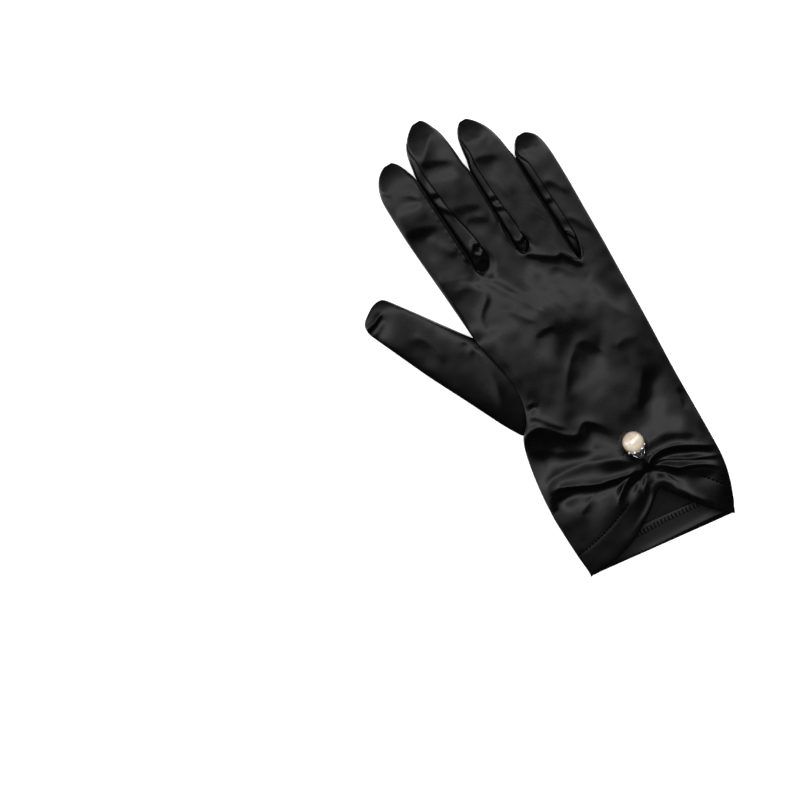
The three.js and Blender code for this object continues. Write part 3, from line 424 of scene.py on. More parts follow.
# %% Folds of the hand
HAND_FOLDS = [
    # across the wrist
    Fold([(-33, 71.6), (-28.6, 75), (-23, 75.4), (-18, 70.8), (-13.6, 65.8), (-9, 63.4),
          (-3.6, 66.6), (1.6, 62.4), (5.4, 55)],
         crest=1.2, rise=3.2, valley=2.7, drop=1.8, reach=7.5, fade=(0.12, 0.2)),
    Fold([(-24, 82), (-20.4, 79), (-15.4, 72.6), (-11, 67.6)],
         crest=0.25, rise=2.2, valley=0.8, drop=1.5, reach=1.8),
    Fold([(-21.6, 86.2), (-19.8, 86), (-18, 85.4)], crest=0.2, valley=1.3, drop=1.3, reach=0.9),
    Fold([(20, 59), (26, 66), (32, 74)], crest=0.35, rise=5, valley=1.5, drop=3.4, reach=4),
    Fold([(38, 48), (39.6, 53.6), (40, 58)], rise=2, valley=1.2, drop=3.4, reach=2.6),
    # the tent in the middle
    Fold([(-4.6, 81), (0, 88), (5.4, 94), (11.4, 98.6)],
         crest=0.3, rise=5, valley=1.7, drop=2.4, reach=5),
    Fold([(9, 99), (15.6, 98.6), (19.6, 92.6), (23, 84.6)],
         crest=0.2, rise=5, valley=1.3, drop=2.4, reach=4.5),
    Fold([(-3.6, 111.4), (2.4, 112.6), (8.4, 111)], crest=0.12, rise=4, valley=1.1, drop=2, reach=2.8),
    # from the crotch beside the index finger
    Fold([(6.4, 122), (2.6, 130), (-1.4, 137.6), (-5.6, 144.2), (-10, 149)],
         valley=0.9, drop=1.2, reach=1.5, fade=(0.3, 0.08)),
    Fold([(6.4, 112.6), (6.2, 119.4), (3.2, 125), (-3.2, 135), (-7.6, 142.6), (-10.4, 147)],
         crest=0.25, rise=2.2, valley=0.1, reach=1.5, fade=(0.25, 0.2)),
    Fold([(-8.6, 131), (-2.6, 122.4), (2, 116.4)], crest=0.1, rise=2, valley=0.7, drop=2.4, reach=2.4),
    # the loop under the index finger
    Fold([(-17.6, 92), (-20.4, 108), (-21, 121), (-20, 129.6), (-17.6, 133.8), (-12.4, 138.2),
          (-12.6, 142.6), (-16.6, 147.6), (-22, 151)],
         crest=0.45, rise=2.6, valley=0.5, drop=1.5, reach=2.2, fade=(0.3, 0.3)),
    Fold([(-13.4, 142), (-18, 146.4), (-24.6, 148)], valley=1.1, drop=3.6, reach=4),
    # drags from the crotch between the middle and the ring finger
    Fold([(12, 147.8), (15.6, 145.2), (20, 141.6), (24.4, 138.4), (27.6, 138), (29.6, 135),
          (32.6, 130.8), (36, 128.2)],
         crest=0.5, rise=2.6, valley=1.1, drop=1.5, reach=3.2, fade=(0.12, 0.25)),
    Fold([(19.6, 135.4), (24.6, 132), (29.6, 124)], valley=0.7, drop=3, reach=2.8),
    Fold([(28, 121), (32, 113), (36, 104), (41.6, 95)],
         crest=0.2, rise=3, valley=0.7, drop=3.2, reach=3.4),
    Fold([(7.6, 137), (10.6, 128), (15.4, 117.4), (17.6, 107)],
         crest=0.22, rise=2.6, valley=0.15, drop=1.8),
    Fold([(16.6, 131), (20.4, 122), (23, 111)], crest=0.2, rise=2.6, valley=0.15, drop=1.8, reach=4),
    Fold([(-2.4, 146), (-1, 140), (3.4, 131)], crest=0.15, rise=2.4, valley=0.15, drop=1.8, reach=4),
    Fold([(26, 88), (32, 90), (39, 87)], crest=0.25, rise=4, valley=0.6, drop=5, reach=4),
]

# %% Folds of the fingers
FINGER_FOLDS = [
    # index finger
    Fold([(-29.4, 205.6), (-27.4, 203.4), (-25.8, 200)],
         crest=0.3, rise=1.4, valley=0.9, drop=1.3, reach=1.6),
    Fold([(-30, 191), (-21, 189.4), (-13, 191)], crest=1, rise=6, drop=12),
    Fold([(-19.4, 198), (-16.6, 194.6), (-14, 192)],
         crest=0.3, rise=1.6, valley=0.7, drop=1.8, reach=1.6),
    Fold([(-30, 156), (-21, 152.6), (-12, 149.6)], crest=0.9, rise=6.5, drop=7),
    Fold([(-21, 176), (-17, 168), (-13, 162)], crest=0.5, rise=4, drop=3),
    Fold([(-13.2, 200), (-12.7, 184), (-12.1, 168), (-11.4, 156)],
         crest=0.4, rise=0.8, valley=0.2, drop=0.7, fade=(0.1, 0.1)),
    Fold([(-31, 182.4), (-22, 181), (-13, 177.6)], valley=1.8, drop=3, reach=4.5),
    # middle finger
    Fold([(-8, 206), (0, 204), (9, 198.6)], valley=1.5, drop=3, reach=3.6),
    Fold([(-6, 181), (2, 179), (9, 175)], valley=1.2, drop=3, reach=3.6),
    Fold([(-7, 205), (-1.6, 210), (5, 217)], crest=0.6, rise=4.4, valley=0.9, drop=4.4, reach=3),
    Fold([(-9, 197), (-1, 194.4), (8, 191)], crest=0.7, rise=5.5, drop=7),
    Fold([(-3, 174), (3, 172.6), (8.4, 168)], crest=0.3, rise=4, valley=0.7, drop=3, reach=3),
    Fold([(10.4, 172), (9.2, 164), (9.6, 155)], crest=0.2, rise=1.4, valley=0.8, drop=1.8),
    # ring finger
    Fold([(13, 195.6), (20, 195), (28, 190)], valley=1.2, drop=3, reach=3.6),
    Fold([(15, 203), (20, 203.8), (26, 200)], crest=0.45, rise=5, drop=7),
    Fold([(22.4, 172), (21.4, 184), (19.6, 197)], crest=0.35, rise=3, drop=3),
    Fold([(17.4, 184), (19.6, 178), (21.6, 168)], crest=0.1, rise=2.4, valley=0.7, drop=2.6, reach=2.6),
    Fold([(31, 133.6), (28.4, 138), (28, 147), (28.2, 163), (28, 181)],
         crest=0.4, rise=1.4, valley=0.3, reach=1.4, fade=(0.2, 0.3)),
    Fold([(19, 163), (18.4, 154), (21, 146)], crest=0.15, rise=1.8, valley=0.7, drop=2, reach=2.2),
    # little finger
    Fold([(37, 186.6), (41, 187), (46, 183.6)], crest=0.4, rise=4, drop=5),
    Fold([(37.6, 171), (41.6, 167.4), (45, 160)], crest=0.3, rise=3.6, valley=0.8, drop=2.4, reach=2.2),
    Fold([(38, 152), (42, 147), (45, 139)], crest=0.3, rise=2.6, valley=0.7, drop=2.4, reach=2.4),
]

# %% Folds of the strips, the thumb and the palm
# pinches across the strips between the fingers, and the loose edges at their lower ends
STRIP_FOLDS = [
    Fold([(-11, 192), (-6, 190.6)], crest=0.6, rise=1.2, valley=1.2, reach=1.2),
    Fold([(-10, 186.6), (-5, 179)], crest=0.5, rise=1.4, valley=1, drop=1.4, reach=1.2),
    Fold([(-7, 159), (-4.8, 162.2), (-2, 160), (-4.2, 156.4), (-7, 159)],
         crest=0.8, rise=0.8, valley=0.6, drop=0.7, reach=0.6, fade=(0.02, 0.02)),
    Fold([(-7.4, 154.4), (-4.4, 154), (-2, 151.6)],
         crest=0.5, rise=0.8, valley=0.7, drop=0.8, reach=0.8),
    Fold([(11.4, 177), (16, 176)], crest=0.5, valley=1, reach=1.2),
    Fold([(12, 172.6), (16.4, 169.6)], crest=0.6, rise=1.2, valley=1.1, drop=1.1, reach=1.2),
    Fold([(10.4, 165), (12.2, 160), (11.4, 155.4), (14.4, 152.6), (17, 154.4)],
         crest=0.7, rise=0.8, valley=0.8, drop=0.8, reach=0.8, fade=(0.1, 0.1)),
    Fold([(33, 163), (37, 162)], crest=0.4, valley=0.9, drop=1.4, reach=1.2),
    Fold([(33.6, 145.6), (35.4, 145.2), (37.2, 141), (37, 135)],
         crest=0.6, rise=0.8, valley=0.8, drop=0.8, reach=0.8, fade=(0.1, 0.1)),
]

THUMB_FOLDS = [
    Fold([(-28.4, 122), (-28, 112), (-28.8, 101), (-31, 91)],
         crest=0.6, rise=1.5, valley=1.7, drop=1.5, fade=(0.15, 0.4)),
    Fold([(-31.4, 127), (-29.8, 124.6), (-29.6, 121)], valley=0.9, drop=1.2, reach=1.2),
    Fold([(-50, 141), (-45, 133), (-43.6, 122)], crest=0.3, rise=3, valley=0.8, drop=3.4, reach=4),
    # the tip's cloth is folded over, with a dark tuck under the fold
    Fold([(-69.4, 152.6), (-66.4, 153.8), (-62, 154.8), (-57, 157.4)],
         crest=0.9, rise=2.4, valley=1.8, drop=1.1, fade=(0.04, 0.25)),
    Fold([(-68, 149.4), (-63, 150.8), (-57.6, 153.6)], crest=0.45, rise=1.2, valley=0.1, drop=1.6),
]

# the fold along the palm's own hem
PALM_FOLDS = [
    Fold([(-22, 2.2), (-6, 0.8), (10, -0.3), (22, -1.2), (33, -2.2)],
         crest=0.9, rise=1.2, valley=0.5, drop=0.8, reach=1, fade=(0.3, 0.05)),
]

print("Folds:", len(CUFF_FOLDS), "at the cuff,", len(HAND_FOLDS), "on the hand,",
      len(FINGER_FOLDS), "on the fingers and", len(THUMB_FOLDS), "on the thumb")

# %% [markdown]
# Bump would leave the cloth flat from the side, so the folds move the mesh itself. A point
# looks for the closest place of each fold's curve. Its distance from there, and its side, give
# the height that the fold adds.

# %% Turning folds into a relief
CREST_ROUND = 0.55  # radius of a crest's top
RECOVERY = 3.2  # how much longer a valley's way up is than its way down
CURVE_STEPS = 10  # places on a curve between two of its points


def curve_through(points, steps=CURVE_STEPS):
    """A smooth curve through points of the plan, as an array."""
    ends = [points[0], *points, points[-1]]
    curve = []
    for a, b, c, d in zip(ends, ends[1:], ends[2:], ends[3:]):
        for step in range(steps):
            t = step / steps
            weights = (
                -t + 2 * t**2 - t**3,
                2 - 5 * t**2 + 3 * t**3,
                t + 4 * t**2 - 3 * t**3,
                t**3 - t**2,
            )
            curve.append([
                sum(w * p[axis] for w, p in zip(weights, (a, b, c, d))) / 2 for axis in (0, 1)
            ])
    curve.append(list(points[-1]))
    return np.array(curve)


def fold_profile(fold, away, side):
    """Height at a distance from a fold. The side is 1 left of its run and -1 in its valley."""
    eased = np.sqrt(away**2 + CREST_ROUND**2) - CREST_ROUND
    sunk = (1 - np.exp(-eased / fold.reach)) * np.exp(-((away / (RECOVERY * fold.reach)) ** 2))
    lower = fold.crest * np.exp(-((away / fold.drop) ** 2)) - fold.valley * sunk
    upper = fold.crest * np.exp(-eased / fold.rise)
    return lower + (upper - lower) * smooth_step(side, -1, 1)


def fold_margin(fold):
    """The distance past which a fold adds nothing that shows."""
    recovered = 2.2 * RECOVERY * fold.reach if fold.valley > 0 else 0
    return max(5 * fold.rise, 3 * fold.drop, recovered)


def relief(x, y, folds):
    """Height in millimetres that all the folds add at points of the plan."""
    total = np.zeros(len(x))
    for fold in folds:
        curve = curve_through(fold.points)
        low, high = curve.min(0) - fold_margin(fold), curve.max(0) + fold_margin(fold)
        near = np.flatnonzero((x > low[0]) & (x < high[0]) & (y > low[1]) & (y < high[1]))
        if not len(near):
            continue
        along = np.gradient(curve, axis=0)
        along /= np.linalg.norm(along, axis=1, keepdims=True)
        away_x = x[near][:, None] - curve[None, :, 0]
        away_y = y[near][:, None] - curve[None, :, 1]
        distances = np.maximum(np.hypot(away_x, away_y), 1e-6)
        closest = distances.min(1, keepdims=True)
        # far from the curve more of its places have a say, so that no edge shows between them
        say = np.exp((closest - distances) * 3 / (0.5 + 0.3 * closest))
        say /= say.sum(1, keepdims=True)
        side = ((along[:, 0] * away_y - along[:, 1] * away_x) / distances * say).sum(1)
        past_end = ((along[:, 0] * away_x + along[:, 1] * away_y) * say).sum(1)
        share = np.linspace(0, 1, len(curve))
        fade_in, fade_out = fold.fade
        faded = smooth_step(share, -0.02, fade_in) * (1 - smooth_step(share, 1 - fade_out, 1.02))
        weight = (faded * say).sum(1) * np.exp(-((past_end / (fold.drop + fold.rise)) ** 2))
        total[near] += fold_profile(fold, closest[:, 0], side) * weight
    return total


middle_line = np.zeros(200), np.arange(200.0)
heights = relief(*middle_line, CUFF_FOLDS + HAND_FOLDS + FINGER_FOLDS)
print("Heights up the glove's middle:", heights.min().round(1), "to", heights.max().round(1), "mm")

# %% [markdown]
# ## The cloth
#
# The cloth could be drawn anew, but a copy of each solid keeps its outline and its wall. Its
# triangles are joined into quads, which a subdivision surface smooths evenly. The walls are let
# out by a hair, so that pieces sewn together meet in a fine groove instead of a gap.

# %% Fine cloth from a solid
SEAM_EASE = 0.14 * MM
CUFF_CORNERS = [(-36.6, 4.1), (34.9, -4.7)]
CORNER_SIZE = 2.4


def plan_points(points):
    return (points[:, 0] - PLAN.x) / MM, (points[:, 1] - PLAN.y) / MM


def crease_corners(mesh):
    """Keeps the cuff's corners sharp under the subdivision."""
    crease = mesh.verts.layers.float.new("crease_vert")
    for vertex in mesh.verts:
        place = ((vertex.co.x - PLAN.x) / MM, (vertex.co.y - PLAN.y) / MM)
        if any(math.dist(place, corner) < CORNER_SIZE for corner in CUFF_CORNERS):
            vertex[crease] = 1.0


def fine_copy(node, name, levels=2, ease=SEAM_EASE):
    """A copy of a solid with quads and a subdivided surface, let out along its normals."""
    piece = bpy.data.objects.new(name, NODES[node].data.copy())
    COLLECTION.objects.link(piece)
    mesh = bmesh.new()
    mesh.from_mesh(piece.data)
    bmesh.ops.remove_doubles(mesh, verts=mesh.verts, dist=1e-6)
    bmesh.ops.join_triangles(
        mesh, faces=mesh.faces, angle_face_threshold=math.pi, angle_shape_threshold=math.pi
    )
    crease_corners(mesh)
    mesh.to_mesh(piece.data)
    mesh.free()
    apply_modifier(piece, "SUBSURF", levels=levels, render_levels=levels)
    set_points(piece, points_of(piece) + points_of(piece, "normal") * ease)
    return piece


back = fine_copy("back_panel", "satin_back", ease=2 * SEAM_EASE)
palm = fine_copy("palm_panel", "satin_palm", ease=2 * SEAM_EASE)
STRIP_NAMES = ("index_middle", "middle_ring", "ring_little")
strips = [fine_copy(f"fourchette_{name}", f"strip_{name}", levels=3) for name in STRIP_NAMES]
print("Points in the back:", len(points_of(back)), "and in the palm:", len(points_of(palm)))

# %% [markdown]
# The solids stand a little apart between two fingers. On the real glove those slits are shut
# nearly up to the fingertips, and the strips end in round bottoms. New faces could fill the
# slits, but pressing their edges together keeps every piece a closed wall of its own.

# %% Shutting the slits between the fingers
# for each slit, points of its middle from its lower end to the place where it opens
SLITS = [
    [(-9.5, 149), (-9.8, 160), (-10.7, 180), (-11.65, 202)],
    [(11.6, 148), (11.3, 160), (11.5, 178), (11.4, 193)],
    [(33.3, 132.5), (33.3, 150), (33.1, 162), (32.55, 187)],
]
SLIT_REACH = 4.5  # how far from a slit the cloth still moves
SLIT_PRESS = 0.15  # how far its edges press past each other
SLIT_BIN = 1.5


def slit_sides(slit, x, y):
    """The middle and the half width of a slit, for each height in a list of bins."""
    across, along = np.array(slit).T
    bins = np.arange(along[0] - 2, along[-1] + 12, SLIT_BIN)
    middles, halves = [], []
    for height in bins:
        centre = np.interp(height, along, across)
        near = (np.abs(y - height) < 0.8 * SLIT_BIN) & (np.abs(x - centre) < 6)
        left, right = x[near & (x < centre)], x[near & (x >= centre)]
        inner = (left.max() if len(left) else centre, right.min() if len(right) else centre)
        middles.append(sum(inner) / 2)
        halves.append((inner[1] - inner[0]) / 2)
    return bins, np.array(middles), np.array(halves)


def shut_slits(pieces):
    clouds = [points_of(piece) for piece in pieces]
    x, y = plan_points(np.concatenate(clouds))
    sides = [slit_sides(slit, x, y) for slit in SLITS]
    for piece, points in zip(pieces, clouds):
        x, y = plan_points(points)
        for slit, (bins, middles, halves) in zip(SLITS, sides):
            opens = slit[-1][1]
            offset = x - np.interp(y, bins, middles)
            half = np.interp(y, bins, halves)
            share = 1 - smooth_step(np.abs(offset), half, half + SLIT_REACH)
            share *= (y > bins[0]) * (1 - smooth_step(y, opens - 2, opens + 5))
            move = np.minimum(half + SLIT_PRESS, np.abs(offset)) * share
            points[:, 0] -= np.sign(offset) * move * MM
            x = plan_points(points)[0]
        set_points(piece, points)
    return [2 * float(halves.max()) for _, _, halves in sides]


# where the strips' ends are drawn out into round bottoms: the slit, centre, move and radius
ROUND_ENDS = [(0, (-6, 152.5), (3.5, -0.8), 9), (1, (15.3, 150.5), (1.2, -0.6), 5.5)]


def round_ends(piece):
    points = points_of(piece)
    for slit, centre, move, radius in ROUND_ENDS:
        x, y = plan_points(points)
        across, along = np.array(SLITS[slit]).T
        beside = x - np.interp(y, along, across)
        away = np.hypot(x - centre[0], y - centre[1]) / radius
        weight = np.maximum(1 - away**2, 0) ** 2
        weight *= smooth_step(beside, 0.3, 3.2) * smooth_step(points[:, 2] / MM, 3.5, 6)
        points[:, 0] += weight * move[0] * MM
        points[:, 1] += weight * move[1] * MM
    set_points(piece, points)


widths = shut_slits([back, palm, *strips])
for piece in (back, *strips):
    round_ends(piece)
print("Shut slits that were up to", [round(width, 1) for width in widths], "mm wide")

# %% [markdown]
# The back carries all the folds of the hand. The palm lies on the table and shows only in the
# open cuff. Faces that look up are halved once more, because a crest is about a millimetre
# wide. Doing that all round would cost faces for nothing.

# %% Folding cloth
LOOKS_UP = 0.08
UV_SCALE = 10


def refine_upward(piece):
    """Halves the faces that look up, where the folds need a finer mesh."""
    mesh = bmesh.new()
    mesh.from_mesh(piece.data)
    faces = [face for face in mesh.faces if face.normal.z > LOOKS_UP]
    edges = list({edge for face in faces for edge in face.edges})
    bmesh.ops.subdivide_edges(mesh, edges=edges, cuts=1, use_grid_fill=True)
    print(f"{piece.name}: {len(faces)} faces look up")
    mesh.to_mesh(piece.data)
    mesh.free()


def lay_uv(piece):
    """A map of the cloth from above: the direction of its threads."""
    layer = piece.data.uv_layers.new(name="cloth")
    loops = np.empty(len(piece.data.loops), dtype=int)
    piece.data.loops.foreach_get("vertex_index", loops)
    layer.data.foreach_set("uv", (points_of(piece)[loops][:, :2] * UV_SCALE).ravel())


def finish_cloth(piece, node, material=SATIN):
    lay_uv(piece)
    finish_piece(piece, material, [node])


def fold_cloth(piece, folds, low, high):
    """Moves cloth by the folds, from nothing at a low height in mm to fully at a high one."""
    points = points_of(piece)
    x, y = plan_points(points)
    weight = smooth_step(points[:, 2] / MM, low, high)
    points[:, 2] += relief(x, y, folds) * weight * MM
    set_points(piece, points)


def ripple_cloth(piece, amount, seed, low, high):
    """Small uneven waves that no table lists: broad ones, and finer ones half as high."""
    points = points_of(piece)
    offset = Vector((seed * 3.1, seed * 1.7, seed * 0.9))
    waves = np.array([
        noise.noise(Vector(point) * 70 + offset) + 0.5 * noise.noise(Vector(point) * 160 + offset)
        for point in points
    ])
    weight = smooth_step(points[:, 2] / MM, low, high)
    points[:, 2] += waves * amount * weight * MM
    set_points(piece, points)


# %% The back
refine_upward(back)
fold_cloth(back, CUFF_FOLDS + HAND_FOLDS + FINGER_FOLDS, low=4.6, high=7.6)
ripple_cloth(back, 0.3, seed=3, low=4.6, high=8.0)
finish_cloth(back, "back_panel")

# %% The palm
fold_cloth(palm, PALM_FOLDS, low=0.6, high=1.4)
finish_cloth(palm, "palm_panel")

# %% [markdown]
# At the wrist the cloth is turned in and shows its duller back. The hems could be bent over
# from the back's and the palm's own mesh. As pieces of their own they keep their own finish,
# and the same tables of folds move them with the cloth outside.

# %% The turned-in hems
back_hem = fine_copy("back_hem", "turned_hem_back")
fold_cloth(back_hem, CUFF_FOLDS, low=3.6, high=6.6)
palm_hem = fine_copy("palm_hem", "turned_hem_palm", levels=3)
fold_cloth(palm_hem, PALM_FOLDS, low=0.6, high=1.4)
finish_cloth(back_hem, "back_hem", SATIN_INSIDE)
finish_cloth(palm_hem, "palm_hem", SATIN_INSIDE)

# %% [markdown]
# Narrow folded strips give a glove's fingers their depth. Where a finger bends they crumple
# into small pinches, which a table of their own draws over the folds of the fingers.

# %% The strips
for name, strip in zip(STRIP_NAMES, strips):
    fold_cloth(strip, FINGER_FOLDS + STRIP_FOLDS, low=5.0, high=7.6)
    ripple_cloth(strip, 0.25, seed=len(name), low=5.5, high=8.0)
    finish_cloth(strip, f"fourchette_{name}")

# %% [markdown]
# The thumb is a piece of its own, set into the seam, and lies flat on the table. A round tube
# would mirror the light in one thin line. Pressed from above, its top gets the broad even
# sheen of flat cloth, while its outline stays.

# %% The thumb
FLATNESS = 2.2


def lie_flat(piece, from_x, to_x):
    """Presses a tube of cloth from above: a broad flat top with rounder sides."""
    points = points_of(piece)
    top = points[:, 2].max()
    weight = 1 - smooth_step(plan_points(points)[0], from_x, to_x)
    pressed = top * (1 - (1 - np.clip(points[:, 2] / top, 0, 1)) ** FLATNESS)
    points[:, 2] += (pressed - points[:, 2]) * weight * smooth_step(points[:, 2] / MM, 0.5, 3)
    set_points(piece, points)


thumb = fine_copy("thumb", "satin_thumb", levels=3)
lie_flat(thumb, from_x=-46, to_x=-34)
fold_cloth(thumb, THUMB_FOLDS, low=3.4, high=6.0)
ripple_cloth(thumb, 0.2, seed=8, low=4.0, high=7.0)
finish_cloth(thumb, "thumb")

# %% [markdown]
# ## Stitches
#
# A stitch is a short thread that dips into the cloth at both ends. Bumps in the cloth's finish
# would be cheaper, but real threads catch the light and are part of the mesh. A ray from
# above finds the cloth, so the rows follow its folds.

# %% Rows of stitches
bpy.context.view_layer.update()
BACK_SKIN, HEM_SKIN, *STRIP_SKINS = (
    BVHTree.FromObject(piece, bpy.context.evaluated_depsgraph_get())
    for piece in (back, palm_hem, *strips)
)
ABOVE_ALL = 0.05


def height_of(skin, x, y):
    hit = skin.ray_cast(on_model(x, y, ABOVE_ALL), Vector((0, 0, -1)))
    return hit[0].z if hit[0] else None


def resampled(points, pitch):
    """Points at an even pitch along a smooth curve."""
    curve = curve_through(points, 16)
    steps = np.hypot(*np.diff(curve, axis=0).T)
    along = np.concatenate([[0], np.cumsum(steps)])
    count = max(2, int(along[-1] / pitch))
    at = np.linspace(0, along[-1], count + 1)
    return np.stack([np.interp(at, along, curve[:, axis]) for axis in (0, 1)], 1)


def thread_tubes(name, lines, radius, replaced=(), material=THREAD):
    """One mesh of round threads along lists of places."""
    data = bpy.data.curves.new(name, "CURVE")
    data.dimensions = "3D"
    data.bevel_depth = radius
    data.bevel_resolution = 3
    data.resolution_u = 4
    data.use_fill_caps = True
    for line in lines:
        spline = data.splines.new("POLY")
        spline.points.add(len(line) - 1)
        for point, place in zip(spline.points, line):
            point.co = (*place, 1)
    piece = bpy.data.objects.new(name, data)
    COLLECTION.objects.link(piece)
    select_only(piece)
    bpy.ops.object.convert(target="MESH")
    return finish_piece(bpy.context.object, material, replaced)


STITCH_PITCH = 1.8
STITCH = 0.43 * MM
HEM_STITCH_SHARE = 0.42
EDGE_STITCH_SHARE = 0.5
LINE_POINTS = 5


def short_threads(skin, spans, sunk, arch):
    """Lines over the cloth from one point of the plan to another, for spans that all lie on it."""
    lines = []
    for here, there in spans:
        line = []
        for share in np.linspace(0, 1, LINE_POINTS):
            x, y = here + (there - here) * share
            z = height_of(skin, x, y)
            if z is not None:
                line.append(on_model(x, y, z - sunk + arch * math.sin(math.pi * share)))
        if len(line) == LINE_POINTS:
            lines.append(line)
    return lines


def stitch_row(skin, points, share, radius):
    """A row of stitches, each over a share of the pitch: out of the cloth and back in."""
    marks = resampled(points, STITCH_PITCH)
    spans = [(here, here + (after - here) * share) for here, after in zip(marks, marks[1:])]
    return short_threads(skin, spans, sunk=0.35 * radius, arch=0.6 * radius)


rows = []
for points in HEM_STITCHES:
    rows += stitch_row(BACK_SKIN, points, HEM_STITCH_SHARE, STITCH)
thread_tubes("hem_stitches", rows, STITCH)
print("Hem stitches:", len(rows))

# %% [markdown]
# The cut edge of the turned hem is overlocked: a machine wraps it in close upright threads,
# which hold it together, and a running thread ties them below.

# %% The overlocked edge
OVERLOCK = [(-30, 12), (-8, 9.6), (6, 8.8), (20, 7.4), (31, 6)]
OVERLOCK_UPRIGHT = np.array([0.3, 2.3])  # an upright thread's lean and height
OVERLOCK_THREAD = 0.28 * MM
EDGE_THREAD = 0.14 * MM
half = OVERLOCK_UPRIGHT / 2
spans = [(mark - half, mark + half) for mark in resampled(OVERLOCK, STITCH_PITCH)]
uprights = short_threads(HEM_SKIN, spans, sunk=-0.2 * OVERLOCK_THREAD, arch=0)
thread_tubes("overlock_stitches", uprights, OVERLOCK_THREAD)
lower_edge = [(x, y - 1.1) for x, y in OVERLOCK]
running = stitch_row(HEM_SKIN, lower_edge, EDGE_STITCH_SHARE, EDGE_THREAD)
thread_tubes("overlock_edge", running, EDGE_THREAD)
print("Upright threads:", len(uprights))

# %% [markdown]
# ## Seams
#
# Where the back meets the palm, the real seam is a tight fine ridge. The walls could be let
# out until they touch, but that makes the glove fatter. A cord of the same satin, sunk in the
# groove, closes it and looks like the seam's rolled edge.

# %% The side seams of the cuff
SEAM_CORD = 0.45 * MM


def side_seam(side, first, last):
    """The line where the back meets the palm on one side, a little inside its groove."""
    line = []
    for height in np.arange(first, last, 2.0):
        ends = []
        for piece in (back, palm):
            cloud = points_of(piece)
            near = cloud[np.abs(plan_points(cloud)[1] - height) < 1]
            ends.append(near[(near[:, 0] * side).argmax()])
        middle = (ends[0] + ends[1]) / 2
        line.append(Vector((middle[0] - side * SEAM_CORD, PLAN.y + height * MM, middle[2])))
    return line


def satin_cord(name, lines, radius):
    lay_uv(thread_tubes(name, lines, radius, material=SATIN))


satin_cord("side_seams", [side_seam(-1, 5, 66), side_seam(1, -3.6, 120)], SEAM_CORD)

# %% [markdown]
# At each crotch the seam's edge rolls up into a fine welt round the strip's lower end. It is
# laid on the uppermost cloth there, so it hides where the strip's wall goes down.

# %% Welts at the crotches
WELTS = [
    [(-1.6, 160), (-1.3, 156.4), (-1.9, 152.4), (-3.7, 149.6), (-6.4, 148.6), (-8.6, 149.8),
     (-9.6, 153)],
    [(17, 158), (17, 153), (15.6, 149.4), (13.4, 148), (11.4, 149.6), (10, 153.6), (9.5, 159),
     (10.4, 165)],
    [(35, 145), (36.8, 141.6), (37.3, 136.4), (36, 132.6), (33.6, 131.8), (31, 133.8),
     (28.8, 137.6)],
]
WELT = 0.34 * MM
WELT_PITCH = 0.5


def top_height(x, y):
    heights = [height_of(skin, x, y) for skin in (BACK_SKIN, *STRIP_SKINS)]
    return max((z for z in heights if z is not None), default=None)


def resting_line(points, pitch, sink):
    """Places along a curve of the plan, lying on the uppermost cloth, with smoothed heights."""
    marks = resampled(points, pitch)
    heights = np.array([top_height(x, y) or 0 for x, y in marks])
    heights = np.convolve(np.pad(heights, 2, mode="edge"), np.ones(5) / 5, mode="valid")
    return [on_model(x, y, z - sink) for (x, y), z in zip(marks, heights)]


rolls = [resting_line(points, WELT_PITCH, sink=0.3 * WELT) for points in WELTS]
satin_cord("crotch_welts", rolls, WELT)

# %% [markdown]
# ## The pearl, its cap and its thread
#
# They hang in one line from the knot. Every piece is modelled upright, which is easier to
# check, and then laid along that line.

# %% The line that the pearl hangs on
PEARL_LOW, PEARL_HIGH, PEARL = box_of("pearl")
PEARL_RADIUS = (PEARL_HIGH.x - PEARL_LOW.x) / 2
HANG = Vector((0, PEARL.y - KNOT.y, PEARL.z - KNOT_TOP.z)).normalized()
TURN = HANG.to_track_quat("Z", "Y").to_matrix().to_4x4()


def lay_along(piece, distance):
    """Lays a piece that was modelled upright at the origin on the line, measured from the pearl."""
    piece.data.transform(TURN)
    piece.data.transform(Matrix.Translation(PEARL + HANG * distance))
    piece.location = (0, 0, 0)
    piece.rotation_euler = (0, 0, 0)
    return piece


print("The pearl is", round(2 * PEARL_RADIUS / MM, 1), "mm across")

# %% [markdown]
# A drilled bead could be turned from its outline, but a sphere with a hole cut by a cylinder
# is quicker. No pearl is quite round, so it is uneven by a hair.

# %% The pearl
DRILL_RADIUS = 0.6 * MM
UNEVEN = 0.004


def cut_with_active(piece):
    """Cuts the active object's shape out of a piece, and deletes it."""
    cutter = bpy.context.object
    apply_modifier(piece, "BOOLEAN", object=cutter, operation="DIFFERENCE", solver="EXACT")
    bpy.data.objects.remove(cutter)


bpy.ops.object.select_all(action="DESELECT")
bpy.ops.mesh.primitive_uv_sphere_add(segments=64, ring_count=40, radius=PEARL_RADIUS * 0.995)
pearl = bpy.context.object
pearl.name = "pearl_bead"
bpy.ops.mesh.primitive_cylinder_add(
    vertices=24, radius=DRILL_RADIUS, depth=2 * PEARL_RADIUS, location=(0, 0, -PEARL_RADIUS)
)
cut_with_active(pearl)
points = points_of(pearl)
points *= 1 - UNEVEN * np.sin(points[:, [1]] / PEARL_RADIUS * 4 + 1)
set_points(pearl, points)
finish_piece(lay_along(pearl, 0), NACRE, ["pearl"])

# %% [markdown]
# The cap is a cup of thin sheet with six petals and windows between them. One petal could be
# copied round, but that leaves six seams to close. An open cone with rings of points takes the
# petals as waves round its axis. Then it gets its wall, its windows are cut, and a bevel breaks
# the edges, as polishing does.

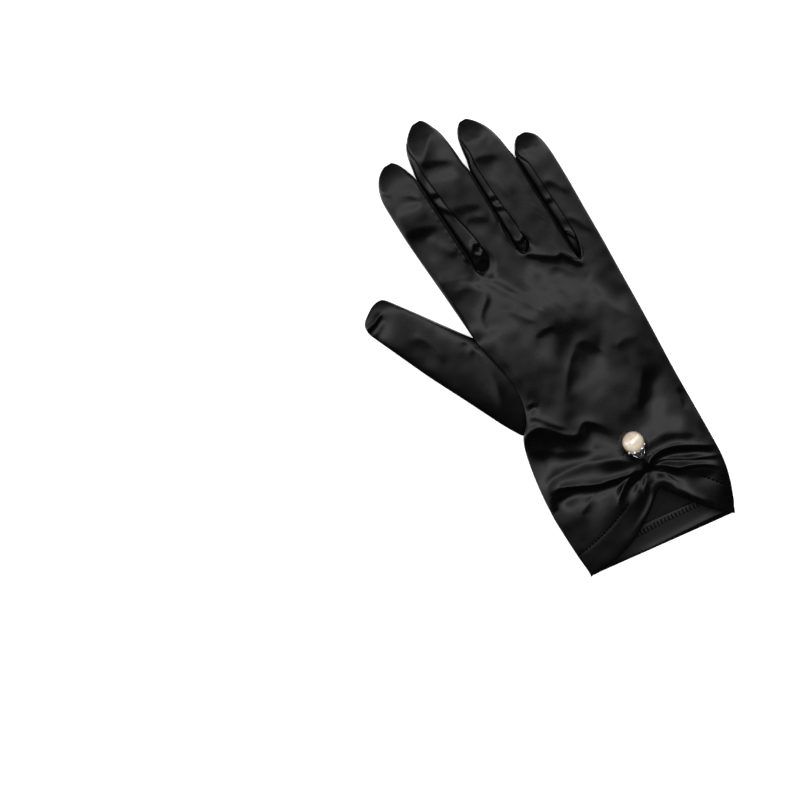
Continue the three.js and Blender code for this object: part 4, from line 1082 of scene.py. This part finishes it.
# %% The cap
PETALS = 6
CAP_LENGTH, CAP_RIM, CAP_TIP, CAP_WALL = 5.0 * MM, 3.7 * MM, 1.3 * MM, 0.5 * MM
PETAL_TALL = 0.45 * MM
bpy.ops.object.select_all(action="DESELECT")
bpy.ops.mesh.primitive_cone_add(
    vertices=48, radius1=CAP_TIP, radius2=CAP_RIM, depth=CAP_LENGTH, end_fill_type="NOTHING"
)
cap = bpy.context.object
cap.name = "silver_cap"
bpy.ops.object.mode_set(mode="EDIT")
bpy.ops.mesh.select_all(action="SELECT")
bpy.ops.mesh.subdivide(number_cuts=9)
bpy.ops.object.mode_set(mode="OBJECT")
points = points_of(cap)
rise = (points[:, 2] + CAP_LENGTH / 2) / CAP_LENGTH
waves = np.cos(PETALS * np.arctan2(points[:, 1], points[:, 0]))
points[:, :2] *= (1 + 0.16 * np.sin(np.pi * rise) + 0.05 * waves * rise)[:, None]
points[:, 2] += PETAL_TALL * waves * rise**3
set_points(cap, points)
apply_modifier(cap, "SOLIDIFY", thickness=CAP_WALL, offset=-1)
print("The cup of the cap has", len(cap.data.polygons), "faces")


# %% The cap's windows
def round_the_rim(number, shift=0.0):
    """The angle of a petal, or of a place between petals, and its direction from the axis."""
    angle = math.radians(360 / PETALS * (number + shift))
    return angle, Vector((math.cos(angle), math.sin(angle), 0))


WINDOW_SIZE = (1.6 * MM, 0.62 * MM, 1.5 * MM, 1)
WINDOW_RISE = 0.3 * MM
for number in range(PETALS):
    angle, outward = round_the_rim(number, 0.5)
    bpy.ops.mesh.primitive_uv_sphere_add(segments=20, ring_count=12, radius=1)
    place = Matrix.Translation(outward * CAP_RIM * 0.8 + Vector((0, 0, WINDOW_RISE)))
    turn = Matrix.Rotation(angle, 4, "Z")
    bpy.context.object.data.transform(place @ turn @ Matrix.Diagonal(WINDOW_SIZE))
    cut_with_active(cap)
apply_modifier(cap, "BEVEL", width=0.08 * MM, segments=2, limit_method="ANGLE", angle_limit=0.6)
SEAT = math.sqrt(PEARL_RADIUS**2 - (CAP_RIM * 0.9) ** 2)
lay_along(cap, -SEAT - CAP_LENGTH / 2 + 0.2 * MM)
finish_piece(cap, SILVER, ["pearl_cap"])

# %% [markdown]
# A grain of silver is soldered on the tip of each petal. The grains are half sunk in the rim,
# so a fine ball of even faces is all that shows of each.

# %% The beads
BEAD_RADIUS = 0.85 * MM
beads = []
for number in range(PETALS):
    bpy.ops.mesh.primitive_ico_sphere_add(subdivisions=3, radius=BEAD_RADIUS)
    bead = bpy.context.object
    bead.data.transform(Matrix.Translation(round_the_rim(number)[1] * CAP_RIM * 1.02))
    beads.append(bead)
select_only(*beads)
bpy.ops.object.join()
beads = bpy.context.object
beads.name = "silver_beads"
finish_piece(lay_along(beads, -SEAT + 0.1 * MM), SILVER)

# %% [markdown]
# Three plies twist round each other from the knot to the inside of the pearl, and the same
# thread lies in loops where the cloth is drawn together. A bump on one tube would look alike
# from afar, but so small a piece costs few faces.

# %% The hanging thread
PLIES, PLY_STEPS, STEPS_PER_TURN = 3, 60, 10
PLY_RADIUS = 0.24 * MM
TWIST_RADIUS = 0.2 * MM
knot_top = Vector((KNOT.x, KNOT.y, KNOT_TOP.z + 0.6 * MM))
length = (PEARL - knot_top).length
start = PEARL - HANG * length
sideways = HANG.orthogonal().normalized()
upwards = HANG.cross(sideways)
plies = []
for ply in range(PLIES):
    line = []
    for step in range(PLY_STEPS + 1):
        turn = 2 * math.pi * (step / STEPS_PER_TURN + ply / PLIES)
        outward = sideways * math.cos(turn) + upwards * math.sin(turn)
        line.append(start + HANG * length * step / PLY_STEPS + outward * TWIST_RADIUS)
    plies.append(line)
thread_tubes("hanging_thread", plies, PLY_RADIUS, ["pearl_thread"])
print("The thread is", round(length / MM, 1), "mm long")

# %% The knot
# each loop: its turn in radians, and its width and length as shares of a millimetre
LOOPS = ((0.0, 1.0, 1.25), (0.5, 0.95, 1.1), (-0.55, 0.9, 1.15), (1.1, 0.8, 0.95))
LOOP_STEPS = 24
loops = []
for tilt, wide, long in LOOPS:
    loop = []
    for step in range(LOOP_STEPS + 1):
        turn = 2 * math.pi * step / LOOP_STEPS
        wave = 0.35 * math.sin(2 * turn + tilt * 4)
        flat = Vector((math.cos(turn) * wide, math.sin(turn) * long, wave)) * MM
        lifted = Vector((0, 0, tilt * 0.2 * MM))
        loop.append(KNOT + Matrix.Rotation(tilt, 3, "Z") @ flat * 0.8 + lifted)
    loops.append(loop)
thread_tubes("knot_loops", loops, 0.26 * MM, ["knot"])

# %% [markdown]
# ## Floor, light and camera
#
# The glove lies on plain white without a shadow, as on a light table, so the floor glows a
# little. A backdrop alone would leave a grey halo.

# %% Floor
floor_material = new_material(
    "white_floor", Base_Color=(0.93, 0.93, 0.93, 1), Roughness=0.9,
    Emission_Color=(1, 1, 1, 1), Emission_Strength=0.6,
)[0]
bpy.ops.mesh.primitive_plane_add(size=40, location=(0, 0, -0.2 * MM))
floor = bpy.context.object
floor.name = "floor"
floor.data.materials.append(floor_material)
floor.visible_glossy = False
print("Floor:", tuple(floor.dimensions))

# %% [markdown]
# Satin shows what it mirrors, and lamps would draw hard spots on the folds. So the light is a
# sky of white screens, brightest at one height towards the fingertips: slopes that look there
# shine, and those that look back to the wrist stay black.

# %% The sky
# how bright the sky is at a direction's share towards the fingertips, from -1 to 1
SKY = [
    (-1.0, 0.01), (-0.11, 0.02), (0.05, 0.54), (0.18, 0.56), (0.28, 1.5), (0.4, 1.45),
    (0.56, 0.28), (1.0, 0.03),
]
SKY_PEAK = 4.0


def studio_sky():
    world = bpy.data.worlds.new("studio")
    bpy.context.scene.world = world
    world.use_nodes = True
    tree = world.node_tree
    direction = add_node(tree, "TexCoord").outputs["Generated"]
    towards = add_node(tree, "SeparateXYZ", Vector=direction).outputs["Y"]
    share = add_node(tree, "MapRange", Value=towards, From_Min=-1.0).outputs[0]
    stops = [((place + 1) / 2, (level / SKY_PEAK,) * 3) for place, level in SKY]
    background = tree.nodes["Background"].inputs
    feed(tree, background[0], colour_ramp(tree, share, stops, "EASE"))
    feed(tree, background[1], SKY_PEAK)


studio_sky()
print("Brightest at", max(SKY, key=lambda stop: stop[1]))

# %% [markdown]
# Two lamps that nothing mirrors add plain light. A pearl needs a small bright lamp for its
# highlight, which would draw a streak on the cloth, so that lamp is linked to the pearl and its
# silver alone.

# %% Lamps
def softbox(name, place, size, brightness, glossy=True):
    """A lamp with a plain bright face, turned to the glove."""
    data = bpy.data.lights.new(name, "AREA")
    data.shape = "RECTANGLE"
    data.size, data.size_y = size
    data.energy = brightness * math.pi * size[0] * size[1]
    light = bpy.data.objects.new(name, data)
    COLLECTION.objects.link(light)
    light.location = place
    light.rotation_euler = (-Vector(place)).to_track_quat("-Z", "Y").to_euler()
    light.visible_glossy = glossy
    print(f"{name}: {data.energy:.2f} W")
    return light


softbox("key", (0.0, 0.66, 1.0), (0.8, 0.4), 1.0, glossy=False)
softbox("floor_fill", (0.0, 0.0, 2.0), (3.0, 3.0), 1.9, glossy=False)
glint = softbox("glint", (-0.05, 0.1, 1.2), (0.9, 0.3), 14.0)
jewels = bpy.data.collections.new("jewels")
for piece in (pearl, cap, beads):
    jewels.objects.link(piece)
glint.light_linking.receiver_collection = jewels

# %% [markdown]
# The photograph looks straight down, and the glove lies turned in its upper right. The camera
# is turned instead, so that the glove stays straight in its own frame.

# %% Camera
FRAME_SIDE = 0.368  # the side of the photograph on the floor
FRAME_CENTRE = on_model(-70.1, 118.6)
PHOTO_TURN = math.radians(31)
DISTANCE = 1.3
SENSOR = 36
camera_data = bpy.data.cameras.new("camera")
camera_data.sensor_width = SENSOR
camera_data.lens = SENSOR * DISTANCE / FRAME_SIDE
camera = bpy.data.objects.new("camera", camera_data)
COLLECTION.objects.link(camera)
camera.location = (FRAME_CENTRE.x, FRAME_CENTRE.y, DISTANCE)
camera.rotation_euler = (0, 0, -PHOTO_TURN)
bpy.context.scene.camera = camera
bpy.context.scene.view_settings.view_transform = "Standard"
print("Lens:", round(camera_data.lens, 1), "mm")
